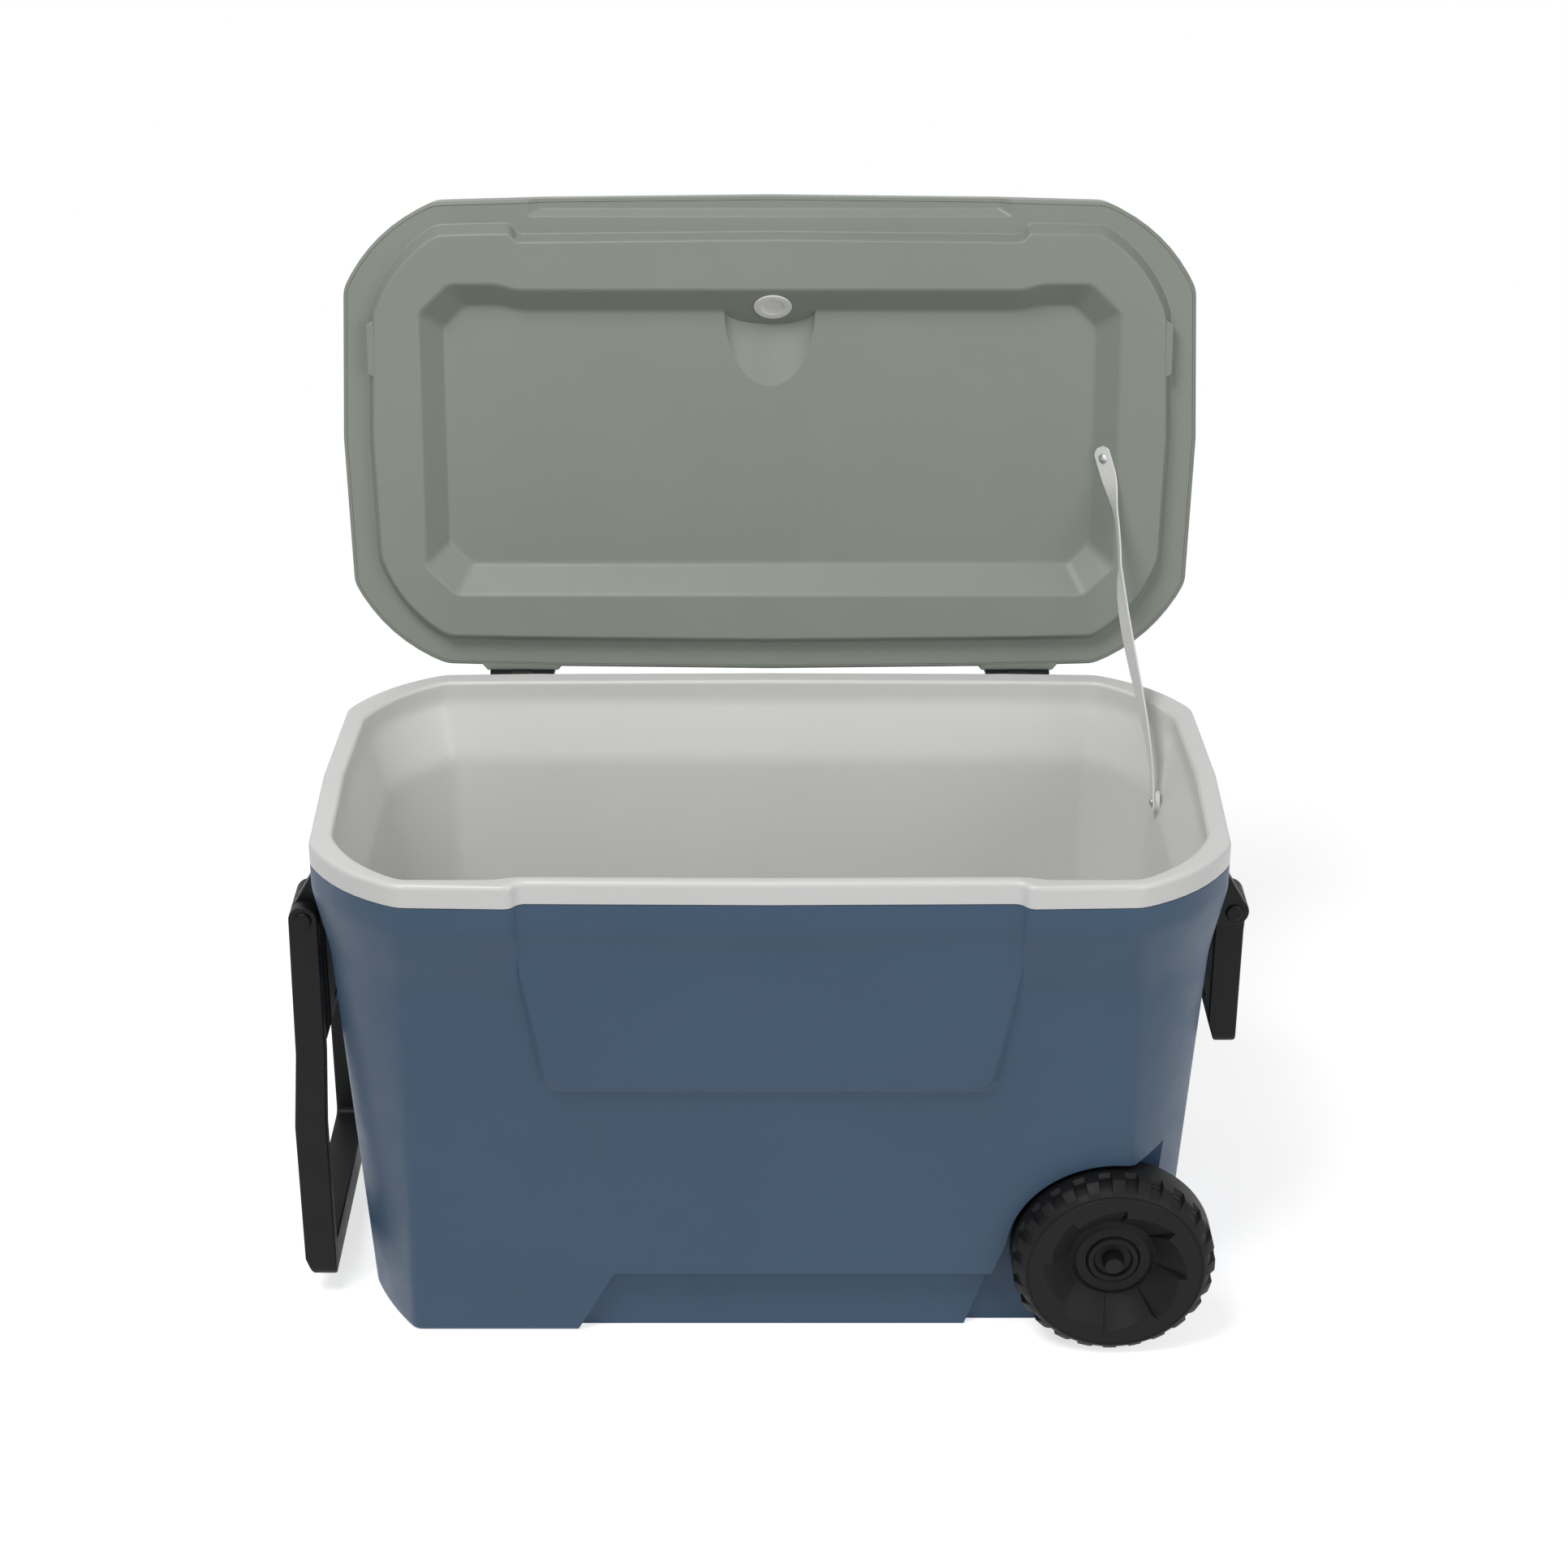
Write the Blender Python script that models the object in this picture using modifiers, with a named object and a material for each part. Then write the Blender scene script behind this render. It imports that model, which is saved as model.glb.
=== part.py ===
"""Wheeled cooler: an insulated chest with an open lid, two wheels, a tow handle and two carry handles.

Metres, +Z up. +X runs along the chest towards the wheels and +Y towards its back. The origin lies on the
floor under the middle of the chest. Everything is modelled as it stands with the lid open on its strap.
"""

import math

import bmesh
import bpy
from mathutils import Matrix, Vector

# Clearances and walls
GAP = 0.0003
OVERRUN = 0.012
SHELL_WALL = 0.003
LINER_WALL = 0.0025
LID_WALL = 0.003

# Outline of the chest at its rim, seen from above
RIM_HALF_X = 0.354
RIM_HALF_Y = 0.195
RIM_CUT_X = 0.075
RIM_CUT_Y = 0.071
RIM_BULGE = 0.004
RIM_TOP = 0.431
RIM_SKIRT = 0.019
RIM_ROUND = 0.004
CUT_BOW_SHARE = 0.095
CUT_STEPS = 4
CORNER_ROUND = 0.010
SET_BACK = 0.0085
SET_FROM_CORNER = 0.091
SET_RAMP = 0.0065

# Body shell below the rim
COLLAR_HEIGHT = 0.0215
FLARE_HEIGHT = 0.055
COLLAR_STEP_X = 0.0105
COLLAR_STEP_Y = 0.016
COLLAR_CUT_STEP_X = 0.013
COLLAR_CUT_STEP_Y = 0.011
WALL_TOP_BULGE = 0.001
WALL_TOP_BOW_SHARE = 0.08
WALL_LEAN_X = 0.015
WALL_LEAN_Y = 0.0218
WALL_CUT_LEAN_X = 0.023
WALL_CUT_LEAN_Y = -0.010
FOOT_BOW_SHARE = 0.04
FOOT_ROUND = 0.004

# Proud panel on the front
PANEL_OUTSIDE_SET = 0.010
PANEL_TAPER = 0.027
PANEL_DROP = 0.0895
PANEL_LEDGE = 0.009
PANEL_PROUD = 0.007
PANEL_SIDE_RUN = 0.006

# Recess along the lower front
RECESS_FROM_END = 0.1715
RECESS_SLANT = 0.031
RECESS_TOP_Z = 0.0585
RECESS_DEPTH = 0.010

# Wheels, axle and wheel wells
WHEEL_RADIUS = 0.081
WHEEL_WIDTH = 0.045
WHEEL_FROM_END = 0.0535
WHEEL_INSET = 0.004
WHEEL_STEPS = 36
LUG_COUNT = 22
LUG_GROOVE_WIDTH = 0.008
LUG_DEPTH = 0.0028
LUG_LENGTH = 0.019
VANE_COUNT = 8
VANE_THICKNESS = 0.003
HUB_SINK = 0.016
HUB_RADIUS = 0.020
HUB_RING_WIDTH = 0.011
RING_CREST = 0.0015
DISH_FOOT_RADIUS = 0.035
DISH_FOOT_SINK = 0.020
DISH_TOP_INSET = 0.0255
FACE_RING_INSET = 0.0102
SHOULDER_SINK = 0.011
BACK_SHOULDER = 0.006
BACK_RING_INSET = 0.021
BACK_DISH_DEPTH = 0.014
AXLE_RADIUS = 0.005
AXLE_STICK_OUT = 0.006
AXLE_CAP_FLANGE = 0.004
AXLE_CAP_WALL = 0.002
SPACER_FLANGE = 0.008
WELL_BACK_CLEARANCE = 0.006
WELL_CLEARANCE = 0.0045
WELL_SLANT_RUN = 0.116
WELL_END_RISE = 0.028
WELL_ARC_START = 174
WELL_ARC_END = 80
WELL_ARC_STEPS = 10

# Tub liner
RIM_LAND_SIDE = 0.017
RIM_LAND_FRONT = 0.0123
RIM_LAND_REAR = 0.019
RIM_LAND_CUT_STEP_X = 0.0157
RIM_LAND_CUT_STEP_Y = -0.002
TUB_TOP_BULGE = 0.0035
TUB_SET_BACK = 0.0065
TUB_SET_WIDER = 0.004
TUB_SET_RAMP = 0.019
TUB_THROAT = 0.018
TUB_SHOULDER_DROP = 0.066
FOAM_END = 0.0225
FOAM_SIDE = 0.018
FOAM_FOOT_Y = 0.0182
SHOULDER_CUT_STEP_X = 0.010
SHOULDER_CUT_STEP_Y = 0.002
TUB_FOOT_CUT_STEP_X = 0.005
TUB_FOOT_CUT_STEP_Y = 0.020
TUB_FLOOR_Z = 0.042
TUB_FLOOR_ROUND = 0.008
HUMP_FROM_SLANT = 0.007
STEP_FROM_AXLE = 0.035
STEP_OVER_AXLE = 0.031
NUB_FROM_FRONT = 0.0847
NUB_LENGTH = 0.044
NUB_HEIGHT = 0.007
NUB_PROUD = 0.0020
NUB_DROP = 0.0105

# Lid, measured as if closed, from the plane in which it meets the rim
LID_OPEN = math.radians(99.5)
LID_PROUD = 0.0018
LID_CUT_STEP_X = 0.0015
LID_CUT_STEP_Y = 0.0005
LID_BULGE = 0.0045
LID_HEIGHT = 0.046
LID_EDGE_DROP = 0.010
LID_EDGE_RUN = 0.010
LID_BORDER = 0.030
LID_BORDER_DROP = 0.003
LID_FLANGE = 0.0025
PLUG_SIDE_CLEARANCE = 0.002
PLUG_FRONT_CLEARANCE = 0.0049
PLUG_REAR_CLEARANCE = 0.0022
PLUG_CUT_STEP_X = 0.0018
PLUG_CUT_STEP_Y = 0.002
PLUG_SET_MORE = 0.006
PLUG_SET_WIDER = 0.0165
PLUG_SET_RAMP = 0.0035
PLUG_DEPTH = 0.013
PLUG_DRAFT = 0.0025
POCKET_FROM_SIDE = 0.044
POCKET_FROM_FRONT = 0.0513
POCKET_FROM_REAR = 0.0388
POCKET_CUT = 0.027
POCKET_SLOPE_RUN = 0.022
POCKET_FLOOR = 0.010
GRIP_OUTSIDE_SET = 0.002
GRIP_WIDTH = 0.0115
GRIP_LIP = 0.0028
GRIP_DEPTH = 0.007
GRIP_SLOPE = 0.006
NOTCH_CLEARANCE = 0.0015

# Foam-fill plug on the slope at the front of the lid's pocket
FILL_RADIUS = 0.0155
FILL_NECK_RADIUS = 0.0115
FILL_CAP_THICKNESS = 0.002
FILL_DISH = 0.001
FILL_DISH_RADIUS = 0.010

# Hinges
HINGE_FROM_CORNER = 0.0657
HINGE_AXIS_OUT = 0.0095
HINGE_AXIS_DROP = 0.0045
HINGE_HALF_WIDTH = 0.0275
KNUCKLE_RADIUS = 0.0042
KNUCKLE_WIDTH = 0.0185
LEAF_THICKNESS = 0.0025
TUB_LEAF_DROP = 0.0385
LEAF_WEB = 0.0045
LID_LEAF_TOP = 0.030
HINGE_SEAT_SPARE = 0.0035
HINGE_SEAT_OUT = 0.0035
LID_TAB_SPARE = 0.009
LID_TAB_SLOPE = 0.006
LID_TAB_OUT = 0.0057
HINGE_PIN_RADIUS = 0.0016
HINGE_SCREW_SPACING = 0.036
HINGE_SCREW_RADIUS = 0.0018
HINGE_SCREW_HEAD = 0.0036
HINGE_SCREW_HEAD_THICKNESS = 0.0014
HINGE_SCREW_GRIP = 0.0038
TUB_SCREW_RISE = 0.009
LID_SCREW_DROP = 0.010

# Handle brackets, carry handles and the tow handle
PIVOT_OUT = 0.0105
PIVOT_DROP = 0.075
EYE_RADIUS = 0.0115
PIVOT_PIN_RADIUS = 0.004
PIVOT_PIN_HEAD = 0.007
PIVOT_PIN_HEAD_THICKNESS = 0.002
BRACKET_SEAT_SINK = 0.0095
BRACKET_PLATE = 0.0050
BRACKET_FROM_CORNER = 0.024
BRACKET_DROP = 0.033
BRACKET_TOP_RUN = 0.008
EAR_FROM_END = 0.002
EAR_THICKNESS = 0.012
EAR_CLEARANCE = 0.0005
BRACKET_SCREW_Y = 0.035
BRACKET_SCREW_DROP = 0.014
BRACKET_SCREW_RADIUS = 0.0022
BRACKET_SCREW_HEAD = 0.0045
BRACKET_SCREW_HEAD_THICKNESS = 0.002
BRACKET_SCREW_GRIP = 0.0022
CARRY_ARM_WIDTH = 0.0255
CARRY_INSIDE = 0.0125
CARRY_OUTSIDE = 0.0105
CARRY_DROP = 0.127
CARRY_BAR_HEIGHT = 0.028
CARRY_CORNER = 0.010
CARRY_CHAMFER_RUN = 0.006
CARRY_CHAMFER_RISE = 0.020
CARRY_FOOT_CHAMFER = 0.003
TOW_ARM_WIDTH = 0.0135
TOW_FOOT_Z = 0.020
TOW_BAR_HEIGHT = 0.030
TOW_CORNER = 0.012
TOW_KINK_DROP = 0.122
TOW_KINK_HEIGHT = 0.068
TOW_UPPER_INSIDE = 0.0100
TOW_UPPER_OUTSIDE = 0.0138
TOW_LOWER_INSIDE = 0.0065
TOW_LOWER_OUTSIDE = 0.0190
TOW_CHAMFER_RUN = 0.006
TOW_CHAMFER_RISE = 0.018

# Check strap between tub and lid
STRAP_WIDTH = 0.014
STRAP_THICKNESS = 0.0014
STRAP_FROM_CORNER = 0.036
STRAP_OVER_SHOULDER = 0.006
STRAP_BOSS_RADIUS = 0.0095
STRAP_BOSS_HEIGHT = 0.002
STRAP_LID_ALONG = 0.180
STRAP_TAB = 0.010
STRAP_STEPS = 22
STRAP_SCREW_RADIUS = 0.0018
STRAP_SCREW_HEAD = 0.0042
STRAP_SCREW_HEAD_THICKNESS = 0.0018
STRAP_SCREW_GRIP = 0.0019

# Drain on the left end
DRAIN_OVER_FLOOR = 0.024
DRAIN_SEAT_SINK = 0.0095
DRAIN_POCKET_RADIUS = 0.024
DRAIN_BORE_RADIUS = 0.0060
DRAIN_TUBE_WALL = 0.0035
DRAIN_FLANGE_WIDTH = 0.007
DRAIN_FLANGE = 0.003
DRAIN_GASKET = 0.0015
DRAIN_NECK = 0.013
DRAIN_NUT_WIDTH = 0.0055
DRAIN_NUT = 0.006
DRAIN_THREAD_END = 0.004
DRAIN_CAP_WALL = 0.003
DRAIN_CAP_SPARE = 0.0022
DRAIN_CAP_KNOB = 0.004
DRAIN_KNOB_LENGTH = 0.004
TETHER_THICKNESS = 0.0012
TETHER_WIDTH = 0.006
TETHER_RING = 0.0035

# Facets of round pieces
FEW_SIDES = 8
SOME_SIDES = 16
ROUND_SIDES = 24

# Colours as red, green, blue, roughness and metallic
BLUE = (0.073, 0.117, 0.188, 0.42, 0.0)
SAGE = (0.258, 0.283, 0.247, 0.48, 0.0)
WHITE = (0.72, 0.72, 0.72, 0.38, 0.0)
FOAM = (0.80, 0.72, 0.50, 0.90, 0.0)
BLACK = (0.012, 0.012, 0.013, 0.45, 0.0)
STEEL = (0.55, 0.55, 0.56, 0.30, 1.0)
RUBBER = (0.03, 0.03, 0.03, 0.80, 0.0)

# Levels that follow from the sizes above
RIM_FOOT = RIM_TOP - RIM_SKIRT
COLLAR_FOOT = RIM_FOOT - COLLAR_HEIGHT
WALL_TOP = COLLAR_FOOT - FLARE_HEIGHT
LID_PLANE = RIM_TOP + GAP
TUB_SHOULDER_Z = RIM_TOP - TUB_SHOULDER_DROP
PANEL_FOOT_Z = WALL_TOP - PANEL_DROP

# The chest's walls, each measured from the one outside or above it
SET_HALF = RIM_HALF_X - RIM_CUT_X - SET_FROM_CORNER
WALL_TOP_HALF_X = RIM_HALF_X - COLLAR_STEP_X
WALL_TOP_HALF_Y = RIM_HALF_Y - COLLAR_STEP_Y
WALL_TOP_CUT_X = RIM_CUT_X - COLLAR_CUT_STEP_X
WALL_TOP_CUT_Y = RIM_CUT_Y - COLLAR_CUT_STEP_Y
FOOT_HALF_X = WALL_TOP_HALF_X - WALL_LEAN_X
FOOT_HALF_Y = WALL_TOP_HALF_Y - WALL_LEAN_Y
FOOT_CUT_X = WALL_TOP_CUT_X - WALL_CUT_LEAN_X
FOOT_CUT_Y = WALL_TOP_CUT_Y - WALL_CUT_LEAN_Y
PANEL_TOP_HALF_X = SET_HALF + PANEL_OUTSIDE_SET
PANEL_FOOT_HALF_X = PANEL_TOP_HALF_X - PANEL_TAPER
RECESS_FOOT_X = RECESS_FROM_END - FOOT_HALF_X
RECESS_TOP_X = RECESS_FOOT_X + RECESS_SLANT
TUB_TOP_HALF_X = RIM_HALF_X - RIM_LAND_SIDE
TUB_TOP_FRONT = RIM_HALF_Y - RIM_LAND_FRONT
TUB_TOP_REAR = RIM_HALF_Y - RIM_LAND_REAR
TUB_TOP_CUT_X = RIM_CUT_X - RIM_LAND_CUT_STEP_X
TUB_TOP_CUT_Y = RIM_CUT_Y - RIM_LAND_CUT_STEP_Y
TUB_SET_HALF = SET_HALF + TUB_SET_WIDER
TUB_SHOULDER_HALF_X = WALL_TOP_HALF_X - FOAM_END
TUB_SHOULDER_HALF_Y = WALL_TOP_HALF_Y - FOAM_SIDE
TUB_SHOULDER_CUT_X = WALL_TOP_CUT_X - SHOULDER_CUT_STEP_X
TUB_SHOULDER_CUT_Y = WALL_TOP_CUT_Y - SHOULDER_CUT_STEP_Y
TUB_FOOT_HALF_X = FOOT_HALF_X - FOAM_END
TUB_FOOT_HALF_Y = FOOT_HALF_Y - FOAM_FOOT_Y
TUB_FOOT_CUT_X = FOOT_CUT_X - TUB_FOOT_CUT_STEP_X
TUB_FOOT_CUT_Y = FOOT_CUT_Y - TUB_FOOT_CUT_STEP_Y
NUB_FRONT_Y = NUB_FROM_FRONT - TUB_TOP_FRONT
NUB_REAR_Y = NUB_FRONT_Y + NUB_LENGTH

# Wheels and what makes room for them
WHEEL_X = FOOT_HALF_X - WHEEL_FROM_END
WHEEL_FACE_Y = RIM_HALF_Y - WHEEL_INSET
WHEEL_CENTRE_Z = WHEEL_RADIUS
HUB_BACK_Y = WHEEL_FACE_Y - WHEEL_WIDTH
HUB_RING_RADIUS = HUB_RADIUS + HUB_RING_WIDTH
DISH_TOP_RADIUS = WHEEL_RADIUS - DISH_TOP_INSET
FACE_RING_RADIUS = WHEEL_RADIUS - FACE_RING_INSET
BACK_RING_RADIUS = WHEEL_RADIUS - BACK_RING_INSET
AXLE_CAP_RADIUS = AXLE_RADIUS + AXLE_CAP_FLANGE
SPACER_RADIUS = AXLE_RADIUS + SPACER_FLANGE
WELL_WALL_Y = HUB_BACK_Y - WELL_BACK_CLEARANCE
WELL_SLANT_FOOT_X = WHEEL_X - WELL_SLANT_RUN
WELL_END_Z = 2 * WHEEL_RADIUS + WELL_END_RISE
HUMP_X = WELL_SLANT_FOOT_X + HUMP_FROM_SLANT
HUMP_Y = WELL_WALL_Y - FOAM_SIDE
HUMP_Z = WELL_END_Z
STEP_X = WHEEL_X - STEP_FROM_AXLE
STEP_Z = WHEEL_CENTRE_Z + STEP_OVER_AXLE

# The lid over the rim, and its plug in the tub's mouth
LID_HALF_X = RIM_HALF_X + LID_PROUD
LID_HALF_Y = RIM_HALF_Y + LID_PROUD
LID_CUT_X = RIM_CUT_X + LID_CUT_STEP_X
LID_CUT_Y = RIM_CUT_Y + LID_CUT_STEP_Y
PLUG_HALF_X = TUB_TOP_HALF_X - PLUG_SIDE_CLEARANCE
PLUG_FRONT = TUB_TOP_FRONT - PLUG_FRONT_CLEARANCE
PLUG_REAR = TUB_TOP_REAR - PLUG_REAR_CLEARANCE
PLUG_CUT_X = TUB_TOP_CUT_X - PLUG_CUT_STEP_X
PLUG_CUT_Y = TUB_TOP_CUT_Y - PLUG_CUT_STEP_Y
PLUG_SET_BACK = TUB_SET_BACK + PLUG_SET_MORE
PLUG_SET_HALF = TUB_SET_HALF + PLUG_SET_WIDER
POCKET_HALF_X = PLUG_HALF_X - POCKET_FROM_SIDE
POCKET_FRONT = PLUG_FRONT - POCKET_FROM_FRONT
POCKET_REAR = PLUG_REAR - POCKET_FROM_REAR
GRIP_HALF_X = SET_HALF + GRIP_OUTSIDE_SET
GRIP_FAR_Y = LID_HALF_Y - GRIP_LIP
GRIP_NEAR_Y = GRIP_FAR_Y - GRIP_WIDTH

# Hinges on the rear wall
HINGE_X = RIM_HALF_X - RIM_CUT_X - HINGE_FROM_CORNER
HINGE_AXIS_Y = RIM_HALF_Y + HINGE_AXIS_OUT
HINGE_AXIS_Z = RIM_TOP - HINGE_AXIS_DROP
TUB_LEAF_FOOT_Z = RIM_TOP - TUB_LEAF_DROP
HINGE_SEAT_HALF = HINGE_HALF_WIDTH + HINGE_SEAT_SPARE
HINGE_SEAT_Y = RIM_HALF_Y + HINGE_SEAT_OUT
LID_TAB_HALF = HINGE_HALF_WIDTH + LID_TAB_SPARE
LID_TAB_Y = LID_HALF_Y + LID_TAB_OUT
TUB_SCREW_Z = TUB_LEAF_FOOT_Z + TUB_SCREW_RISE
LID_SCREW_RISE = LID_LEAF_TOP - LID_SCREW_DROP

# Handles on the end walls
PIVOT_X = RIM_HALF_X + PIVOT_OUT
PIVOT_Z = RIM_TOP - PIVOT_DROP
BRACKET_SEAT_X = RIM_HALF_X - BRACKET_SEAT_SINK
BRACKET_HALF_Y = RIM_HALF_Y - RIM_CUT_Y - BRACKET_FROM_CORNER
BRACKET_TOP_Z = RIM_TOP - BRACKET_DROP
BRACKET_FOOT_Z = PIVOT_Z - EYE_RADIUS
BRACKET_SCREW_Z = BRACKET_TOP_Z - BRACKET_SCREW_DROP
EAR_OUTER_Y = BRACKET_HALF_Y - EAR_FROM_END
EAR_INNER_Y = EAR_OUTER_Y - EAR_THICKNESS
CARRY_INNER_X = PIVOT_X - CARRY_INSIDE
CARRY_OUTER_X = PIVOT_X + CARRY_OUTSIDE
CARRY_FOOT_Z = PIVOT_Z - CARRY_DROP
TOW_KINK_TOP_Z = PIVOT_Z - TOW_KINK_DROP
TOW_KINK_FOOT_Z = TOW_KINK_TOP_Z - TOW_KINK_HEIGHT
TOW_UPPER_INNER_X = PIVOT_X - TOW_UPPER_INSIDE
TOW_UPPER_OUTER_X = PIVOT_X + TOW_UPPER_OUTSIDE
TOW_LOWER_INNER_X = PIVOT_X - TOW_LOWER_INSIDE
TOW_LOWER_OUTER_X = PIVOT_X + TOW_LOWER_OUTSIDE

# Strap and drain
STRAP_TUB_Y = TUB_SHOULDER_HALF_Y - TUB_SHOULDER_CUT_Y - STRAP_FROM_CORNER
STRAP_TUB_Z = TUB_SHOULDER_Z + STRAP_OVER_SHOULDER
STRAP_BOSS_X = TUB_SHOULDER_HALF_X - STRAP_BOSS_HEIGHT
DRAIN_Z = TUB_FLOOR_Z + DRAIN_OVER_FLOOR
DRAIN_SEAT_X = FOOT_HALF_X - DRAIN_SEAT_SINK
DRAIN_TUBE_RADIUS = DRAIN_BORE_RADIUS + DRAIN_TUBE_WALL
DRAIN_FLANGE_RADIUS = DRAIN_TUBE_RADIUS + DRAIN_FLANGE_WIDTH
DRAIN_NUT_RADIUS = DRAIN_TUBE_RADIUS + DRAIN_NUT_WIDTH
DRAIN_CAP_RADIUS = DRAIN_TUBE_RADIUS + GAP + DRAIN_CAP_WALL + DRAIN_CAP_SPARE

ORIGIN = Vector((0, 0, 0))
HINGE_AXIS = Vector((0, HINGE_AXIS_Y, HINGE_AXIS_Z))


def new_collection(name):
    collection = bpy.data.collections.new(name)
    bpy.context.scene.collection.children.link(collection)
    return collection


def new_empty(name, place, turn):
    """An empty on a joint's axis, turned about X."""
    empty = bpy.data.objects.new(name, None)
    empty.location = place
    empty.rotation_euler = (turn, 0, 0)
    parts.objects.link(empty)
    return empty


def new_look(name, look):
    red, green, blue, roughness, metallic = look
    material = bpy.data.materials.new(name)
    material.use_nodes = True
    shader = material.node_tree.nodes["Principled BSDF"]
    shader.inputs["Base Color"].default_value = (red, green, blue, 1)
    shader.inputs["Roughness"].default_value = roughness
    shader.inputs["Metallic"].default_value = metallic
    return material


def new_object(name, bm, look=None, origin=ORIGIN, parent=None):
    """Turns a bmesh drawn in the chest's frame into an object whose own origin is the one given.

    Without a look it is a cutter. With a parent, the piece is drawn as if the parent were not turned.
    """
    bmesh.ops.translate(bm, verts=bm.verts[:], vec=-origin)
    mesh = bpy.data.meshes.new(name)
    bm.to_mesh(mesh)
    bm.free()
    obj = bpy.data.objects.new(name, mesh)
    if parent:
        obj.parent = parent
    else:
        obj.location = origin
    if look is None:
        cutters.objects.link(obj)
        obj.hide_render = True
        obj.display_type = "WIRE"
        return obj
    parts.objects.link(obj)
    mesh.materials.append(new_look(name + "_look", look))
    mesh.shade_smooth()
    mesh.set_sharp_from_angle(angle=math.radians(35))
    return obj


def boolean(target, tool, operation="DIFFERENCE"):
    modifier = target.modifiers.new(tool.name, "BOOLEAN")
    modifier.operation = operation
    modifier.object = tool
    modifier.solver = "EXACT"


def loft(rings):
    """A closed solid through rings of equally many points, with its first and last ring capped."""
    bm = bmesh.new()
    rows = [[bm.verts.new(point) for point in ring] for ring in rings]
    count = len(rows[0])
    for low, high in zip(rows, rows[1:]):
        for here in range(count):
            beyond = (here + 1) % count
            bm.faces.new((low[here], low[beyond], high[beyond], high[here]))
    bmesh.ops.triangulate(bm, faces=bm.faces[:])
    bm.faces.new(rows[0][::-1])
    bm.faces.new(rows[-1])
    bmesh.ops.recalc_face_normals(bm, faces=bm.faces[:])
    return bm


def prism(outline, axis, low, high):
    """A flat outline drawn across an axis and stretched along it. Its two numbers are in X, Y, Z order."""

    def at(point, along):
        first, second = point
        return {
            "X": (along, first, second),
            "Y": (first, along, second),
            "Z": (first, second, along),
        }[axis]

    return loft([[at(point, along) for point in outline] for along in (low, high)])


def box(low, high):
    bm = bmesh.new()
    bmesh.ops.create_cube(bm, size=1)
    low, high = Vector(low), Vector(high)
    for vert in bm.verts:
        vert.co = Vector(
            [high[i] if vert.co[i] > 0 else low[i] for i in range(3)]
        )
    return bm


def rod(start, end, radius, sides=ROUND_SIDES, end_radius=None):
    """A cylinder, or a cone where the end's radius differs, between two points."""
    start, end = Vector(start), Vector(end)
    span = end - start
    bm = bmesh.new()
    bmesh.ops.create_cone(
        bm,
        cap_ends=True,
        segments=sides,
        radius1=radius,
        radius2=radius if end_radius is None else end_radius,
        depth=span.length,
    )
    turn = span.to_track_quat("Z", "Y").to_matrix().to_4x4()
    bmesh.ops.transform(bm, matrix=Matrix.Translation((start + end) / 2) @ turn, verts=bm.verts[:])
    return bm


def arc(centre, radius, start, end, steps):
    """Points on a circle, from a start angle to an end angle in degrees."""
    angles = [math.radians(start + (end - start) * step / steps) for step in range(steps + 1)]
    return [(centre[0] + radius * math.cos(a), centre[1] + radius * math.sin(a)) for a in angles]


def softened(outline, corners, length, steps=2):
    """Rounds the named corners of an outline, each over the given length of its two sides."""
    result = []
    for index, point in enumerate(outline):
        if index not in corners:
            result.append(point)
            continue
        here = Vector(point)
        before = Vector(outline[index - 1]) - here
        after = Vector(outline[(index + 1) % len(outline)]) - here
        start = here + before.normalized() * length
        end = here + after.normalized() * length
        for step in range(steps + 1):
            share = step / steps
            curve = start * (1 - share) ** 2 + here * 2 * share * (1 - share) + end * share**2
            result.append(tuple(curve))
    return result


def grown(outline, distance):
    """An outline, drawn anticlockwise, moved outwards by a distance along its own normals."""
    result = []
    count = len(outline)
    for index, point in enumerate(outline):
        here = Vector(point)
        before = (here - Vector(outline[index - 1])).normalized()
        after = (Vector(outline[(index + 1) % count]) - here).normalized()
        normal_before = Vector((before.y, -before.x))
        normal_after = Vector((after.y, -after.x))
        mitre = (normal_before + normal_after) / (1 + normal_before.dot(normal_after))
        result.append(tuple(here + mitre * distance))
    return result


def bowed(start, end, share):
    """Points between two others that bow out, to the right of the way, by a share of its length."""
    start, across = Vector(start), Vector(end) - Vector(start)
    outward = Vector((across.y, -across.x))
    result = []
    for step in range(1, CUT_STEPS):
        place = step / CUT_STEPS
        result.append(tuple(start + across * place + outward * share * (1 - (2 * place - 1) ** 2)))
    return result


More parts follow.
